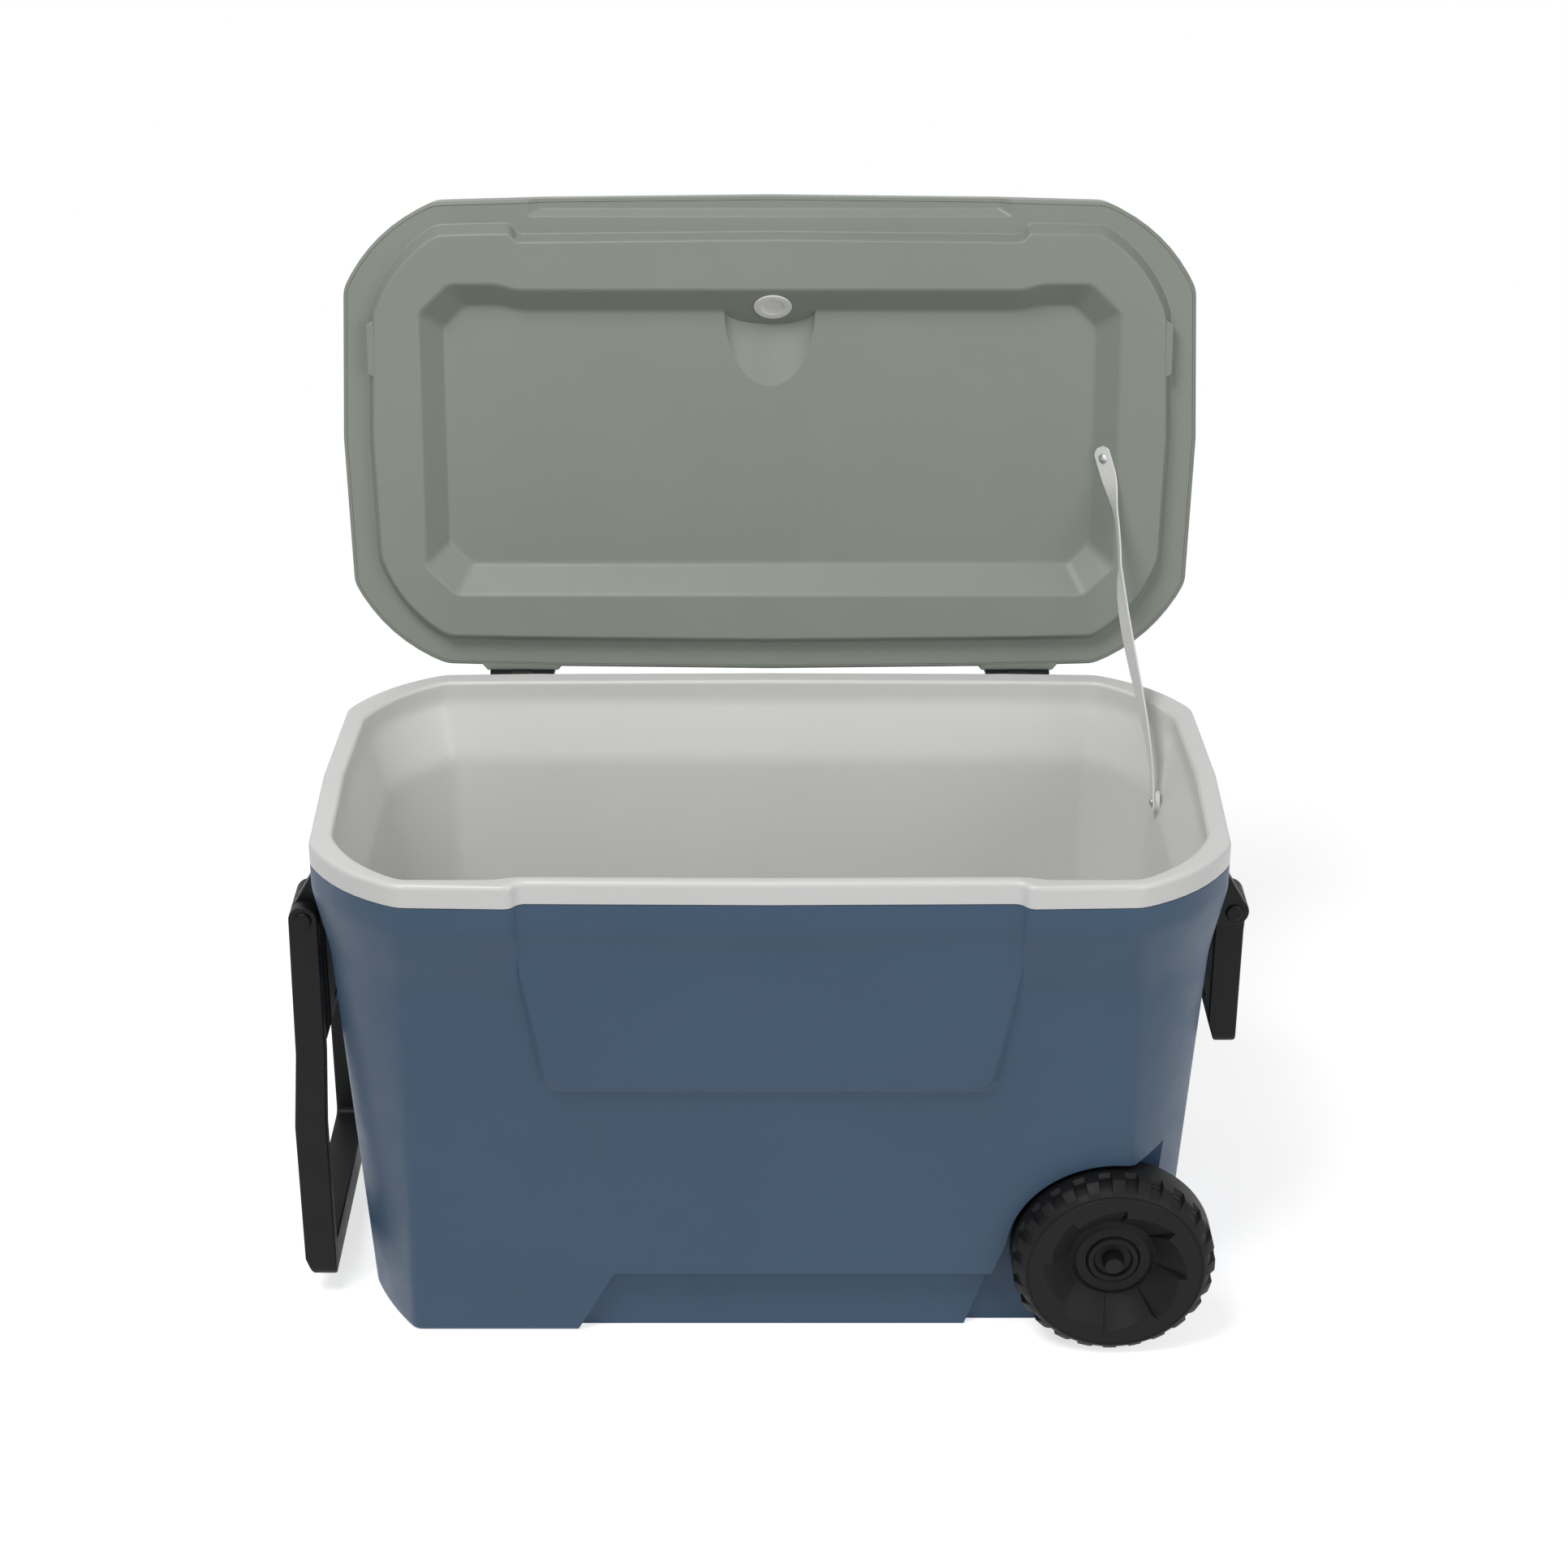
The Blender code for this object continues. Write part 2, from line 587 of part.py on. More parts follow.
def plan(half_x, front, rear, cut_x, cut_y, bulge, set_back=0, set_half=SET_HALF, set_ramp=SET_RAMP,
         bow_share=CUT_BOW_SHARE):
    """The chest's outline from above: a rectangle with bowed cuts at its corners and a set-back front.

    It runs anticlockwise from the front left. Outlines with a bow share have equally many points, so
    that any two can be joined by a loft. A share of zero gives straight cuts.
    """
    inner_x = half_x - cut_x
    ramp_x = set_half + set_ramp
    stations = [-inner_x, -ramp_x, -set_half, 0, set_half, ramp_x, inner_x]
    end_shares = [0, 1 / 2, 1]

    def bow(share):
        return bulge * (1 - share**2)

    front_side = []
    for x in stations:
        sunk = set_back if abs(x) <= set_half else 0
        front_side.append((x, -front - bow(x / inner_x) + sunk))
    rear_side = [(x, rear + bow(x / inner_x)) for x in reversed(stations)]
    right_side = []
    for share in end_shares:
        y = -front + cut_y + (front + rear - 2 * cut_y) * share
        right_side.append((half_x + bow(2 * share - 1), y))
    left_side = [(-x, y) for x, y in reversed(right_side)]
    sides = [front_side, right_side, rear_side, left_side]
    points = []
    corners = set()
    for side, following in zip(sides, sides[1:] + sides[:1]):
        corners.add(len(points))
        points += side
        corners.add(len(points) - 1)
        if bow_share:
            points += bowed(side[-1], following[0], bow_share)
    return softened(points, corners, CORNER_ROUND)


def level(outline, z):
    return [(x, y, z) for x, y in outline]


def between(low, high, share):
    """An outline between two others."""
    return [tuple(Vector(a).lerp(Vector(b), share)) for a, b in zip(low, high)]


def rim_plan():
    return plan(RIM_HALF_X, RIM_HALF_Y, RIM_HALF_Y, RIM_CUT_X, RIM_CUT_Y, RIM_BULGE, SET_BACK)


def wall_top_plan():
    return plan(
        WALL_TOP_HALF_X,
        WALL_TOP_HALF_Y,
        WALL_TOP_HALF_Y,
        WALL_TOP_CUT_X,
        WALL_TOP_CUT_Y,
        WALL_TOP_BULGE,
        bow_share=WALL_TOP_BOW_SHARE,
    )


def foot_plan():
    return plan(
        FOOT_HALF_X, FOOT_HALF_Y, FOOT_HALF_Y, FOOT_CUT_X, FOOT_CUT_Y, 0, bow_share=FOOT_BOW_SHARE
    )


def tub_top_plan():
    return plan(
        TUB_TOP_HALF_X,
        TUB_TOP_FRONT,
        TUB_TOP_REAR,
        TUB_TOP_CUT_X,
        TUB_TOP_CUT_Y,
        TUB_TOP_BULGE,
        TUB_SET_BACK,
        TUB_SET_HALF,
        TUB_SET_RAMP,
    )


def tub_shoulder_plan():
    half_x, half_y = TUB_SHOULDER_HALF_X, TUB_SHOULDER_HALF_Y
    return plan(
        half_x, half_y, half_y, TUB_SHOULDER_CUT_X, TUB_SHOULDER_CUT_Y, 0, bow_share=WALL_TOP_BOW_SHARE
    )


def tub_foot_plan():
    half_x, half_y = TUB_FOOT_HALF_X, TUB_FOOT_HALF_Y
    return plan(half_x, half_y, half_y, TUB_FOOT_CUT_X, TUB_FOOT_CUT_Y, 0, bow_share=FOOT_BOW_SHARE)


def chest_solid(inset, foot, top):
    """The chest's outer form, moved in by an inset, between two heights."""
    collar = grown(rim_plan(), -inset)
    wall_top = grown(wall_top_plan(), -inset)
    wall_foot = grown(foot_plan(), -inset)
    rings = [
        level(grown(wall_foot, -FOOT_ROUND), foot),
        level(wall_foot, foot + FOOT_ROUND),
        level(wall_top, WALL_TOP),
        level(collar, COLLAR_FOOT),
        level(collar, top),
    ]
    return loft(rings)


def well_outline(growth):
    """A wheel well seen from the front, from its slanted side over the wheel and out at the end."""
    radius = WHEEL_RADIUS + WELL_CLEARANCE + growth
    centre = (WHEEL_X, WHEEL_CENTRE_Z)
    arch = arc(centre, radius, WELL_ARC_END, WELL_ARC_START, WELL_ARC_STEPS)
    left_x, left_z = arch[-1]
    foot_x = WELL_SLANT_FOOT_X - growth
    foot_x -= (left_x - foot_x) / left_z * OVERRUN
    outside = RIM_HALF_X + OVERRUN
    return [(foot_x, -OVERRUN), (outside, -OVERRUN), (outside, WELL_END_Z + growth)] + arch


def cut_wells(target, growth, label):
    for side, name in ((-1, "front"), (1, "rear")):
        near, far = WELL_WALL_Y - growth, RIM_HALF_Y + OVERRUN
        low, high = sorted((side * near, side * far))
        tool = new_object(f"{label}_{name}_well_cutter", prism(well_outline(growth), "Y", low, high))
        boolean(target, tool)


def cut_recess(target, growth, label):
    """The long recess at the foot of the front wall, from its slanted left side to the wheel well."""
    slant = (RECESS_TOP_X - RECESS_FOOT_X) / RECESS_TOP_Z
    top = RECESS_TOP_Z + growth
    outline = [
        (RECESS_FOOT_X - slant * OVERRUN - growth, -OVERRUN),
        (WHEEL_X - WHEEL_RADIUS, -OVERRUN),
        (WHEEL_X - WHEEL_RADIUS, top),
        (RECESS_TOP_X - growth, top),
    ]
    back = -FOOT_HALF_Y + RECESS_DEPTH + growth
    tool = new_object(f"{label}_recess_cutter", prism(outline, "Y", -RIM_HALF_Y, back))
    boolean(target, tool)


def cut_bracket_seats(target, growth, label):
    """Flat seats for the handle brackets, sunk in the collar at both ends."""
    for side, name in ((-1, "left"), (1, "right")):
        near, far = BRACKET_SEAT_X - growth, RIM_HALF_X + OVERRUN
        low_x, high_x = sorted((side * near, side * far))
        half_y = BRACKET_HALF_Y + GAP + growth
        tool = new_object(
            f"{label}_{name}_seat_cutter",
            box(
                (low_x, -half_y, BRACKET_FOOT_Z - GAP - growth),
                (high_x, half_y, BRACKET_TOP_Z + GAP + growth),
            ),
        )
        boolean(target, tool)


def cut_drain_pocket(target, growth, label):
    start = (-DRAIN_SEAT_X + growth, 0, DRAIN_Z)
    end = (-RIM_HALF_X, 0, DRAIN_Z)
    tool = new_object(f"{label}_drain_pocket_cutter", rod(start, end, DRAIN_POCKET_RADIUS + growth))
    boolean(target, tool)


def cut_axle_tunnel(target, growth, label):
    reach = WELL_WALL_Y + OVERRUN
    tool = new_object(
        f"{label}_axle_cutter",
        rod(
            (WHEEL_X, -reach, WHEEL_CENTRE_Z),
            (WHEEL_X, reach, WHEEL_CENTRE_Z),
            AXLE_RADIUS + GAP + growth,
        ),
    )
    boolean(target, tool)


def cut_outside_features(target, growth, label):
    """Everything pressed into the chest from outside, with a growth that leaves a wall round each."""
    cut_wells(target, growth, label)
    cut_recess(target, growth, label)
    cut_bracket_seats(target, growth, label)
    cut_drain_pocket(target, growth, label)
    cut_axle_tunnel(target, growth, label)


def cut_drain_hole(target, radius, label):
    tool = new_object(
        f"{label}_drain_hole_cutter",
        rod((-RIM_HALF_X, 0, DRAIN_Z), (-TUB_FOOT_HALF_X + OVERRUN, 0, DRAIN_Z), radius),
    )
    boolean(target, tool)


def drain_hole_radius():
    return DRAIN_TUBE_RADIUS + GAP


def make_body_shell():
    shell = new_object("body_shell", chest_solid(0, 0, RIM_FOOT - GAP), BLUE)
    panel_top = COLLAR_FOOT + PANEL_SIDE_RUN
    panel_front = RIM_HALF_Y - SET_BACK + RIM_BULGE
    drop = WALL_TOP - PANEL_FOOT_Z
    lean = (WALL_TOP_HALF_Y - FOOT_HALF_Y) / WALL_TOP
    foot_front = WALL_TOP_HALF_Y - lean * drop + PANEL_PROUD
    back = -WALL_TOP_HALF_Y + OVERRUN + PANEL_PROUD
    face = [
        (-PANEL_TOP_HALF_X, -panel_front, panel_top),
        (-PANEL_FOOT_HALF_X, -foot_front, PANEL_FOOT_Z),
        (PANEL_FOOT_HALF_X, -foot_front, PANEL_FOOT_Z),
        (PANEL_TOP_HALF_X, -panel_front, panel_top),
    ]
    root = [
        (-PANEL_TOP_HALF_X - PANEL_SIDE_RUN, back, panel_top),
        (-PANEL_FOOT_HALF_X - PANEL_SIDE_RUN, back, PANEL_FOOT_Z - PANEL_LEDGE),
        (PANEL_FOOT_HALF_X + PANEL_SIDE_RUN, back, PANEL_FOOT_Z - PANEL_LEDGE),
        (PANEL_TOP_HALF_X + PANEL_SIDE_RUN, back, panel_top),
    ]
    boolean(shell, new_object("panel_block", loft([face, root])), "UNION")
    for side, name in ((-1, "left"), (1, "right")):
        centre = side * HINGE_X
        seat = box(
            (centre - HINGE_SEAT_HALF, RIM_HALF_Y - SHELL_WALL / 2, COLLAR_FOOT + 2 * GAP),
            (centre + HINGE_SEAT_HALF, HINGE_SEAT_Y, RIM_FOOT - 2 * GAP),
        )
        boolean(shell, new_object(f"body_{name}_hinge_seat", seat), "UNION")
    cut_outside_features(shell, 0, "shell")
    cavity = new_object("shell_cavity", chest_solid(SHELL_WALL, SHELL_WALL, RIM_TOP + OVERRUN))
    cut_outside_features(cavity, SHELL_WALL, "cavity")
    boolean(shell, cavity)
    cut_drain_hole(shell, drain_hole_radius(), "shell")
    cut_hinge_screw_holes(shell, "tub")
    cut_bracket_screw_holes(shell)
    return shell


def tub_solid(growth, top):
    """The inside of the tub as a solid, grown by a wall where its outside is wanted."""
    foot = grown(tub_foot_plan(), growth)
    shoulder = grown(tub_shoulder_plan(), growth)
    mouth = grown(tub_top_plan(), growth)
    floor = TUB_FLOOR_Z - growth
    rings = [
        level(grown(foot, -TUB_FLOOR_ROUND), floor),
        level(foot, floor + TUB_FLOOR_ROUND),
        level(shoulder, TUB_SHOULDER_Z),
        level(mouth, RIM_TOP - TUB_THROAT),
        level(mouth, top),
    ]
    return loft(rings)


def cut_humps(target, inset, label):
    """Steps that the wheel wells and the axle raise in the tub's floor at the wheel end."""
    outside = RIM_HALF_X + OVERRUN
    for side, name in ((-1, "front"), (1, "rear")):
        near, far = HUMP_Y + inset, RIM_HALF_Y + OVERRUN
        low, high = sorted((side * near, side * far))
        hump = box((HUMP_X + inset, low, -OVERRUN), (outside, high, HUMP_Z - inset))
        boolean(target, new_object(f"{label}_{name}_hump_cutter", hump))
    step = box(
        (STEP_X + inset, -RIM_HALF_Y, -OVERRUN), (outside, RIM_HALF_Y, STEP_Z - inset)
    )
    boolean(target, new_object(f"{label}_step_cutter", step))


def tub_outside(growth, name, look, top):
    """The tub's outer form below the rim, as an object."""
    obj = new_object(name, tub_solid(LINER_WALL + growth, top), look)
    cut_humps(obj, LINER_WALL + growth, name)
    return obj


def make_tub_liner():
    rim = rim_plan()
    band = [
        level(rim, RIM_FOOT),
        level(rim, RIM_TOP - RIM_ROUND),
        level(grown(rim, -RIM_ROUND / 3), RIM_TOP - RIM_ROUND / 3),
        level(grown(rim, -RIM_ROUND), RIM_TOP),
    ]
    liner = new_object("tub_liner", loft(band), WHITE)
    under = grown(rim, -LINER_WALL)
    hollow = loft([level(under, RIM_FOOT - OVERRUN), level(under, RIM_TOP - LINER_WALL - RIM_ROUND / 2)])
    boolean(liner, new_object("rim_hollow", hollow))
    boolean(liner, tub_outside(0, "liner_outside", None, RIM_TOP - RIM_ROUND), "UNION")
    for side, name in ((-1, "left"), (1, "right")):
        centre = side * HINGE_X
        seat = box(
            (centre - HINGE_SEAT_HALF, RIM_HALF_Y - LINER_WALL / 2, RIM_FOOT + GAP),
            (centre + HINGE_SEAT_HALF, HINGE_SEAT_Y, RIM_TOP - RIM_ROUND - GAP),
        )
        boolean(liner, new_object(f"rim_{name}_hinge_seat", seat), "UNION")
    inside = new_object("tub_inside", tub_solid(0, RIM_TOP + OVERRUN))
    cut_humps(inside, 0, "inside")
    cut_strap_boss(inside)
    cut_nubs(inside)
    boolean(liner, inside)
    cut_drain_hole(liner, drain_hole_radius(), "liner")
    screw = strap_tub_screw(GAP)
    boolean(liner, new_object("liner_strap_screw_cutter", screw))
    return liner


def cut_strap_boss(target):
    boss = rod(
        (STRAP_BOSS_X, STRAP_TUB_Y, STRAP_TUB_Z),
        (STRAP_BOSS_X + OVERRUN, STRAP_TUB_Y, STRAP_TUB_Z),
        STRAP_BOSS_RADIUS,
    )
    boolean(target, new_object("strap_boss", boss))


def cut_nubs(target):
    """Leaves a snap nub on each inner side wall, which the lid's plug has a notch for."""
    for side, name in ((-1, "left"), (1, "right")):
        wall = TUB_TOP_HALF_X + TUB_TOP_BULGE * nub_bow()
        middle = RIM_TOP - NUB_DROP
        low_x, high_x = sorted((side * (wall - NUB_PROUD), side * (wall + OVERRUN)))
        nub = box(
            (low_x, NUB_FRONT_Y, middle - NUB_HEIGHT / 2), (high_x, NUB_REAR_Y, middle + NUB_HEIGHT / 2)
        )
        boolean(target, new_object(f"{name}_nub", nub))


def nub_bow():
    """The share of the wall's bulge at the middle of the nub."""
    length = TUB_TOP_FRONT + TUB_TOP_REAR - 2 * TUB_TOP_CUT_Y
    start = -TUB_TOP_FRONT + TUB_TOP_CUT_Y
    share = ((NUB_FRONT_Y + NUB_REAR_Y) / 2 - start) / length
    return 1 - (2 * share - 1) ** 2


def make_tub_foam():
    foam = new_object("tub_foam", chest_solid(SHELL_WALL + GAP, SHELL_WALL + GAP, RIM_FOOT - GAP), FOAM)
    cut_outside_features(foam, SHELL_WALL + GAP, "foam")
    core = tub_outside(GAP, "tub_foam_core", None, RIM_TOP + OVERRUN)
    boolean(foam, core)
    cut_drain_hole(foam, drain_hole_radius() + GAP, "foam")
    return foam


def lid_piece(name, bm, look=None):
    """A piece of the lid, drawn closed and carried by the lid's turned empty."""
    return new_object(name, bm, look, HINGE_AXIS, lid_axis)


def lid_plan():
    return plan(LID_HALF_X, LID_HALF_Y, LID_HALF_Y, LID_CUT_X, LID_CUT_Y, LID_BULGE)


def plug_plan():
    return plan(
        PLUG_HALF_X,
        PLUG_FRONT,
        PLUG_REAR,
        PLUG_CUT_X,
        PLUG_CUT_Y,
        TUB_TOP_BULGE,
        PLUG_SET_BACK,
        PLUG_SET_HALF,
        PLUG_SET_RAMP,
    )


def pocket_plan():
    half_x, cut = POCKET_HALF_X, POCKET_CUT
    return plan(half_x, POCKET_FRONT, POCKET_REAR, cut, cut, 0, set_half=half_x / 2, bow_share=0)


def make_lid_shell():
    outline = lid_plan()
    top = LID_PLANE + LID_HEIGHT
    border = top - LID_BORDER_DROP
    rings = [
        level(outline, LID_PLANE),
        level(grown(outline, -LID_BORDER_DROP / 2), border - LID_EDGE_DROP),
        level(grown(outline, -LID_EDGE_RUN / 3), border - LID_EDGE_DROP / 3),
        level(grown(outline, -LID_EDGE_RUN), border),
        level(grown(outline, -LID_BORDER), border),
        level(grown(outline, -LID_BORDER - 2 * LID_BORDER_DROP), top),
    ]
    shell = lid_piece("lid_shell", loft(rings), SAGE)
    for side, name in ((-1, "left"), (1, "right")):
        centre = side * HINGE_X
        tab = [
            (centre - LID_TAB_HALF, LID_HALF_Y - LID_WALL / 2),
            (centre + LID_TAB_HALF, LID_HALF_Y - LID_WALL / 2),
            (centre + LID_TAB_HALF - LID_TAB_SLOPE, LID_TAB_Y),
            (centre - LID_TAB_HALF + LID_TAB_SLOPE, LID_TAB_Y),
        ]
        high = LID_PLANE + LID_LEAF_TOP + GAP
        boolean(shell, lid_piece(f"lid_{name}_tab", prism(tab, "Z", LID_PLANE, high)), "UNION")
    inner = grown(outline, -LID_WALL)
    hollow = [
        level(inner, LID_PLANE - OVERRUN),
        level(inner, border - LID_EDGE_DROP - LID_WALL),
        level(grown(inner, -LID_EDGE_RUN), border - LID_WALL),
    ]
    boolean(shell, lid_piece("lid_shell_hollow", loft(hollow)))
    cut_hinge_screw_holes(shell, "lid")
    return shell


def pocket_solid(growth, top):
    """The pocket in the lid's underside: 45 degree slopes from the plug's foot up to a flat floor."""
    mouth = grown(pocket_plan(), growth)
    floor = grown(pocket_plan(), growth - POCKET_SLOPE_RUN)
    foot = LID_PLANE - PLUG_DEPTH
    rise = POCKET_FLOOR + PLUG_DEPTH
    overrun_share = OVERRUN / rise
    below = between(floor, mouth, 1 + overrun_share)
    return loft([level(below, foot - OVERRUN + growth), level(floor, top)])


def lid_core(growth):
    """The space between the lid's liner and shell, moved in by a growth, as an object."""
    plug = grown(plug_plan(), -LINER_WALL - growth)
    flange = grown(lid_plan(), -LID_WALL - growth)
    low = LID_PLANE + LID_FLANGE + growth
    border = LID_PLANE + LID_HEIGHT - LID_BORDER_DROP
    rings = [
        level(flange, low),
        level(flange, border - LID_EDGE_DROP - LID_WALL),
        level(grown(flange, -LID_EDGE_RUN), border - LID_WALL - growth),
    ]
    return plug, rings, low


def make_lid_liner():
    flange = grown(lid_plan(), -LID_WALL - GAP)
    plug = plug_plan()
    top = LID_PLANE + POCKET_FLOOR + LINER_WALL
    liner = lid_piece(
        "lid_liner", loft([level(flange, LID_PLANE), level(flange, top)]), SAGE
    )
    foot = LID_PLANE - PLUG_DEPTH
    plug_block = loft(
        [
            level(grown(plug, -PLUG_DRAFT), foot),
            level(plug, LID_PLANE - PLUG_DRAFT),
            level(plug, LID_PLANE + LID_FLANGE / 2),
        ]
    )
    boolean(liner, lid_piece("plug_block", plug_block), "UNION")
    wide = grown(flange, OVERRUN)
    trough_rings = [level(wide, LID_PLANE + LID_FLANGE), level(wide, top + OVERRUN)]
    trough = lid_piece("liner_trough", loft(trough_rings))
    inner_plug = grown(plug, -LINER_WALL)
    plug_trough = loft(
        [
            level(grown(inner_plug, -PLUG_DRAFT), foot + LINER_WALL),
            level(inner_plug, LID_PLANE - PLUG_DRAFT),
            level(inner_plug, LID_PLANE + LID_FLANGE + LINER_WALL),
        ]
    )
    boolean(trough, lid_piece("liner_plug_trough", plug_trough), "UNION")
    boolean(trough, lid_piece("trough_pocket_core", pocket_solid(LINER_WALL, top)))
    grip_keep = grip_block(LINER_WALL)
    boolean(trough, lid_piece("trough_grip_core", grip_keep))
    boolean(liner, trough)
    boolean(liner, lid_piece("liner_pocket_cutter", pocket_solid(0, LID_PLANE + POCKET_FLOOR)))
    boolean(liner, lid_piece("liner_grip_cutter", grip_block(0)))
    for side, name in ((-1, "left"), (1, "right")):
        wall = PLUG_HALF_X + TUB_TOP_BULGE
        near, far = wall - NUB_PROUD - NOTCH_CLEARANCE, wall + NOTCH_CLEARANCE
        low_x, high_x = sorted((side * near, side * far))
        notch = box(
            (low_x, NUB_FRONT_Y - NOTCH_CLEARANCE, foot - OVERRUN),
            (high_x, NUB_REAR_Y + NOTCH_CLEARANCE, LID_PLANE - NOTCH_CLEARANCE),
        )
        boolean(liner, lid_piece(f"{name}_notch_cutter", notch))
    boolean(liner, lid_piece("liner_fill_cutter", fill_plug(GAP)))
    boolean(liner, lid_piece("liner_lid_screw_cutter", strap_lid_screw(GAP)))
    return liner


def grip_block(growth):
    """The finger groove under the lid's front lip, with sloped ends."""
    low = LID_PLANE - OVERRUN
    high = LID_PLANE + GRIP_DEPTH + growth
    outline = [
        (-GRIP_HALF_X - growth - GRIP_SLOPE, low),
        (GRIP_HALF_X + growth + GRIP_SLOPE, low),
        (GRIP_HALF_X + growth + GRIP_SLOPE, LID_PLANE),
        (GRIP_HALF_X + growth - GRIP_SLOPE, high),
        (-GRIP_HALF_X - growth + GRIP_SLOPE, high),
        (-GRIP_HALF_X - growth - GRIP_SLOPE, LID_PLANE),
    ]
    return prism(outline, "Y", -GRIP_FAR_Y - growth, -GRIP_NEAR_Y + growth)


def make_lid_foam():
    plug, rings, low = lid_core(GAP)
    foam = lid_piece("lid_foam", loft(rings), FOAM)
    foot = LID_PLANE - PLUG_DEPTH + LINER_WALL + GAP
    plug_part = loft(
        [
            level(grown(plug, -PLUG_DRAFT), foot),
            level(plug, LID_PLANE - PLUG_DRAFT),
            level(plug, low + LINER_WALL),
        ]
    )
    boolean(foam, lid_piece("foam_plug_part", plug_part), "UNION")
    top = LID_PLANE + POCKET_FLOOR + LINER_WALL + GAP
    boolean(foam, lid_piece("foam_pocket_cutter", pocket_solid(LINER_WALL + GAP, top)))
    boolean(foam, lid_piece("foam_grip_cutter", grip_block(LINER_WALL + GAP)))
    for side, name in ((-1, "left"), (1, "right")):
        wall = PLUG_HALF_X + TUB_TOP_BULGE
        deep = wall - NUB_PROUD - NOTCH_CLEARANCE - LINER_WALL
        low_x, high_x = sorted((side * deep, side * (wall + OVERRUN)))
        notch = box(
            (low_x, NUB_FRONT_Y - NOTCH_CLEARANCE - LINER_WALL, foot - OVERRUN),
            (high_x, NUB_REAR_Y + NOTCH_CLEARANCE + LINER_WALL, LID_PLANE + GAP),
        )
        boolean(foam, lid_piece(f"foam_{name}_notch_cutter", notch))
    boolean(foam, lid_piece("foam_fill_cutter", fill_plug(GAP)))
    return foam


def slope_point(along_x, share, front):
    """A point on a slope of the lid's pocket, and the slope's outward normal: front or right side."""
    foot = LID_PLANE - PLUG_DEPTH
    rise = POCKET_FLOOR + PLUG_DEPTH
    depth = rise * share
    run = POCKET_SLOPE_RUN * share
    if front:
        normal = Vector((0, rise, -POCKET_SLOPE_RUN)).normalized()
        return Vector((along_x, -POCKET_FRONT + run, foot + depth)), normal
    normal = Vector((-rise, 0, -POCKET_SLOPE_RUN)).normalized()
    return Vector((POCKET_HALF_X - run, along_x, foot + depth)), normal


def fill_plug(growth):
    """The round plug in the foam-fill hole, on the middle of the pocket's front slope."""
    place, normal = slope_point(0, 1 / 2, True)
    neck_length = LINER_WALL + FILL_CAP_THICKNESS
    seat = place + normal * GAP
    neck = rod(seat - normal * (neck_length + growth), seat + normal * GAP, FILL_NECK_RADIUS + growth)
    return neck


def make_foam_plug():
    place, normal = slope_point(0, 1 / 2, True)
    seat = place + normal * GAP
    cap = rod(seat, seat + normal * FILL_CAP_THICKNESS, FILL_RADIUS)
    plug = lid_piece("foam_plug", cap, WHITE)
    boolean(plug, lid_piece("foam_plug_neck", fill_plug(0)), "UNION")
    face = seat + normal * FILL_CAP_THICKNESS
    dish = rod(face - normal * FILL_DISH, face + normal * OVERRUN, FILL_DISH_RADIUS)
    boolean(plug, lid_piece("foam_plug_dish", dish))
    return plug


def screw_shape(seat, outward, head_radius, head_thickness, radius, grip, growth=0):
    """A pan-head screw as one solid, or its hole where a growth is given."""
    seat, outward = Vector(seat), Vector(outward).normalized()
    if growth:
        start, end = seat - outward * (grip + growth), seat + outward * OVERRUN / 2
        return rod(start, end, radius + growth, FEW_SIDES)
    under = seat + outward * GAP
    shoulder = head_thickness / 2
    sections = [
        (seat - outward * grip, radius),
        (under, radius),
        (under, head_radius),
        (under + outward * shoulder, head_radius),
        (under + outward * head_thickness, head_radius * 2 / 3),
    ]
    turn = outward.to_track_quat("Z", "Y").to_matrix()
    rings = []
    for centre, size in sections:
        circle = [
            centre + turn @ Vector((size * math.cos(angle), size * math.sin(angle), 0))
            for angle in [math.tau * step / FEW_SIDES for step in range(FEW_SIDES)]
        ]
        rings.append(circle)
    return loft(rings)


def hinge_screw_places():
    """Names, seats and directions of the screws in the hinge leaves."""
    places = []
    for side, name in ((-1, "left"), (1, "right")):
        for number, offset in ((1, -HINGE_SCREW_SPACING / 2), (2, HINGE_SCREW_SPACING / 2)):
            x = side * HINGE_X + offset
            tub_seat = (x, HINGE_SEAT_Y + GAP + LEAF_THICKNESS, TUB_SCREW_Z)
            places.append((f"hinge_screw_tub_{name}_{number}", "tub", tub_seat))
            lid_seat = (x, LID_TAB_Y + GAP + LEAF_THICKNESS, LID_PLANE + LID_SCREW_RISE)
            places.append((f"hinge_screw_lid_{name}_{number}", "lid", lid_seat))
    return places


def hinge_screw(seat, growth=0):
    grip = LEAF_THICKNESS + GAP + HINGE_SCREW_GRIP
    return screw_shape(
        seat,
        (0, 1, 0),
        HINGE_SCREW_HEAD,
        HINGE_SCREW_HEAD_THICKNESS,
        HINGE_SCREW_RADIUS,
        grip,
        growth,
    )


def cut_hinge_screw_holes(target, where):
    for name, place, seat in hinge_screw_places():
        if place != where:
            continue
        tool_name = f"{target.name}_{name}_hole"
        tool = hinge_screw(seat, GAP)
        cutter = lid_piece(tool_name, tool) if where == "lid" else new_object(tool_name, tool)
        boolean(target, cutter)


def knuckle(centre_x, half_width):
    return rod(
        (centre_x - half_width, HINGE_AXIS_Y, HINGE_AXIS_Z),
        (centre_x + half_width, HINGE_AXIS_Y, HINGE_AXIS_Z),
        KNUCKLE_RADIUS,
        FEW_SIDES,
    )


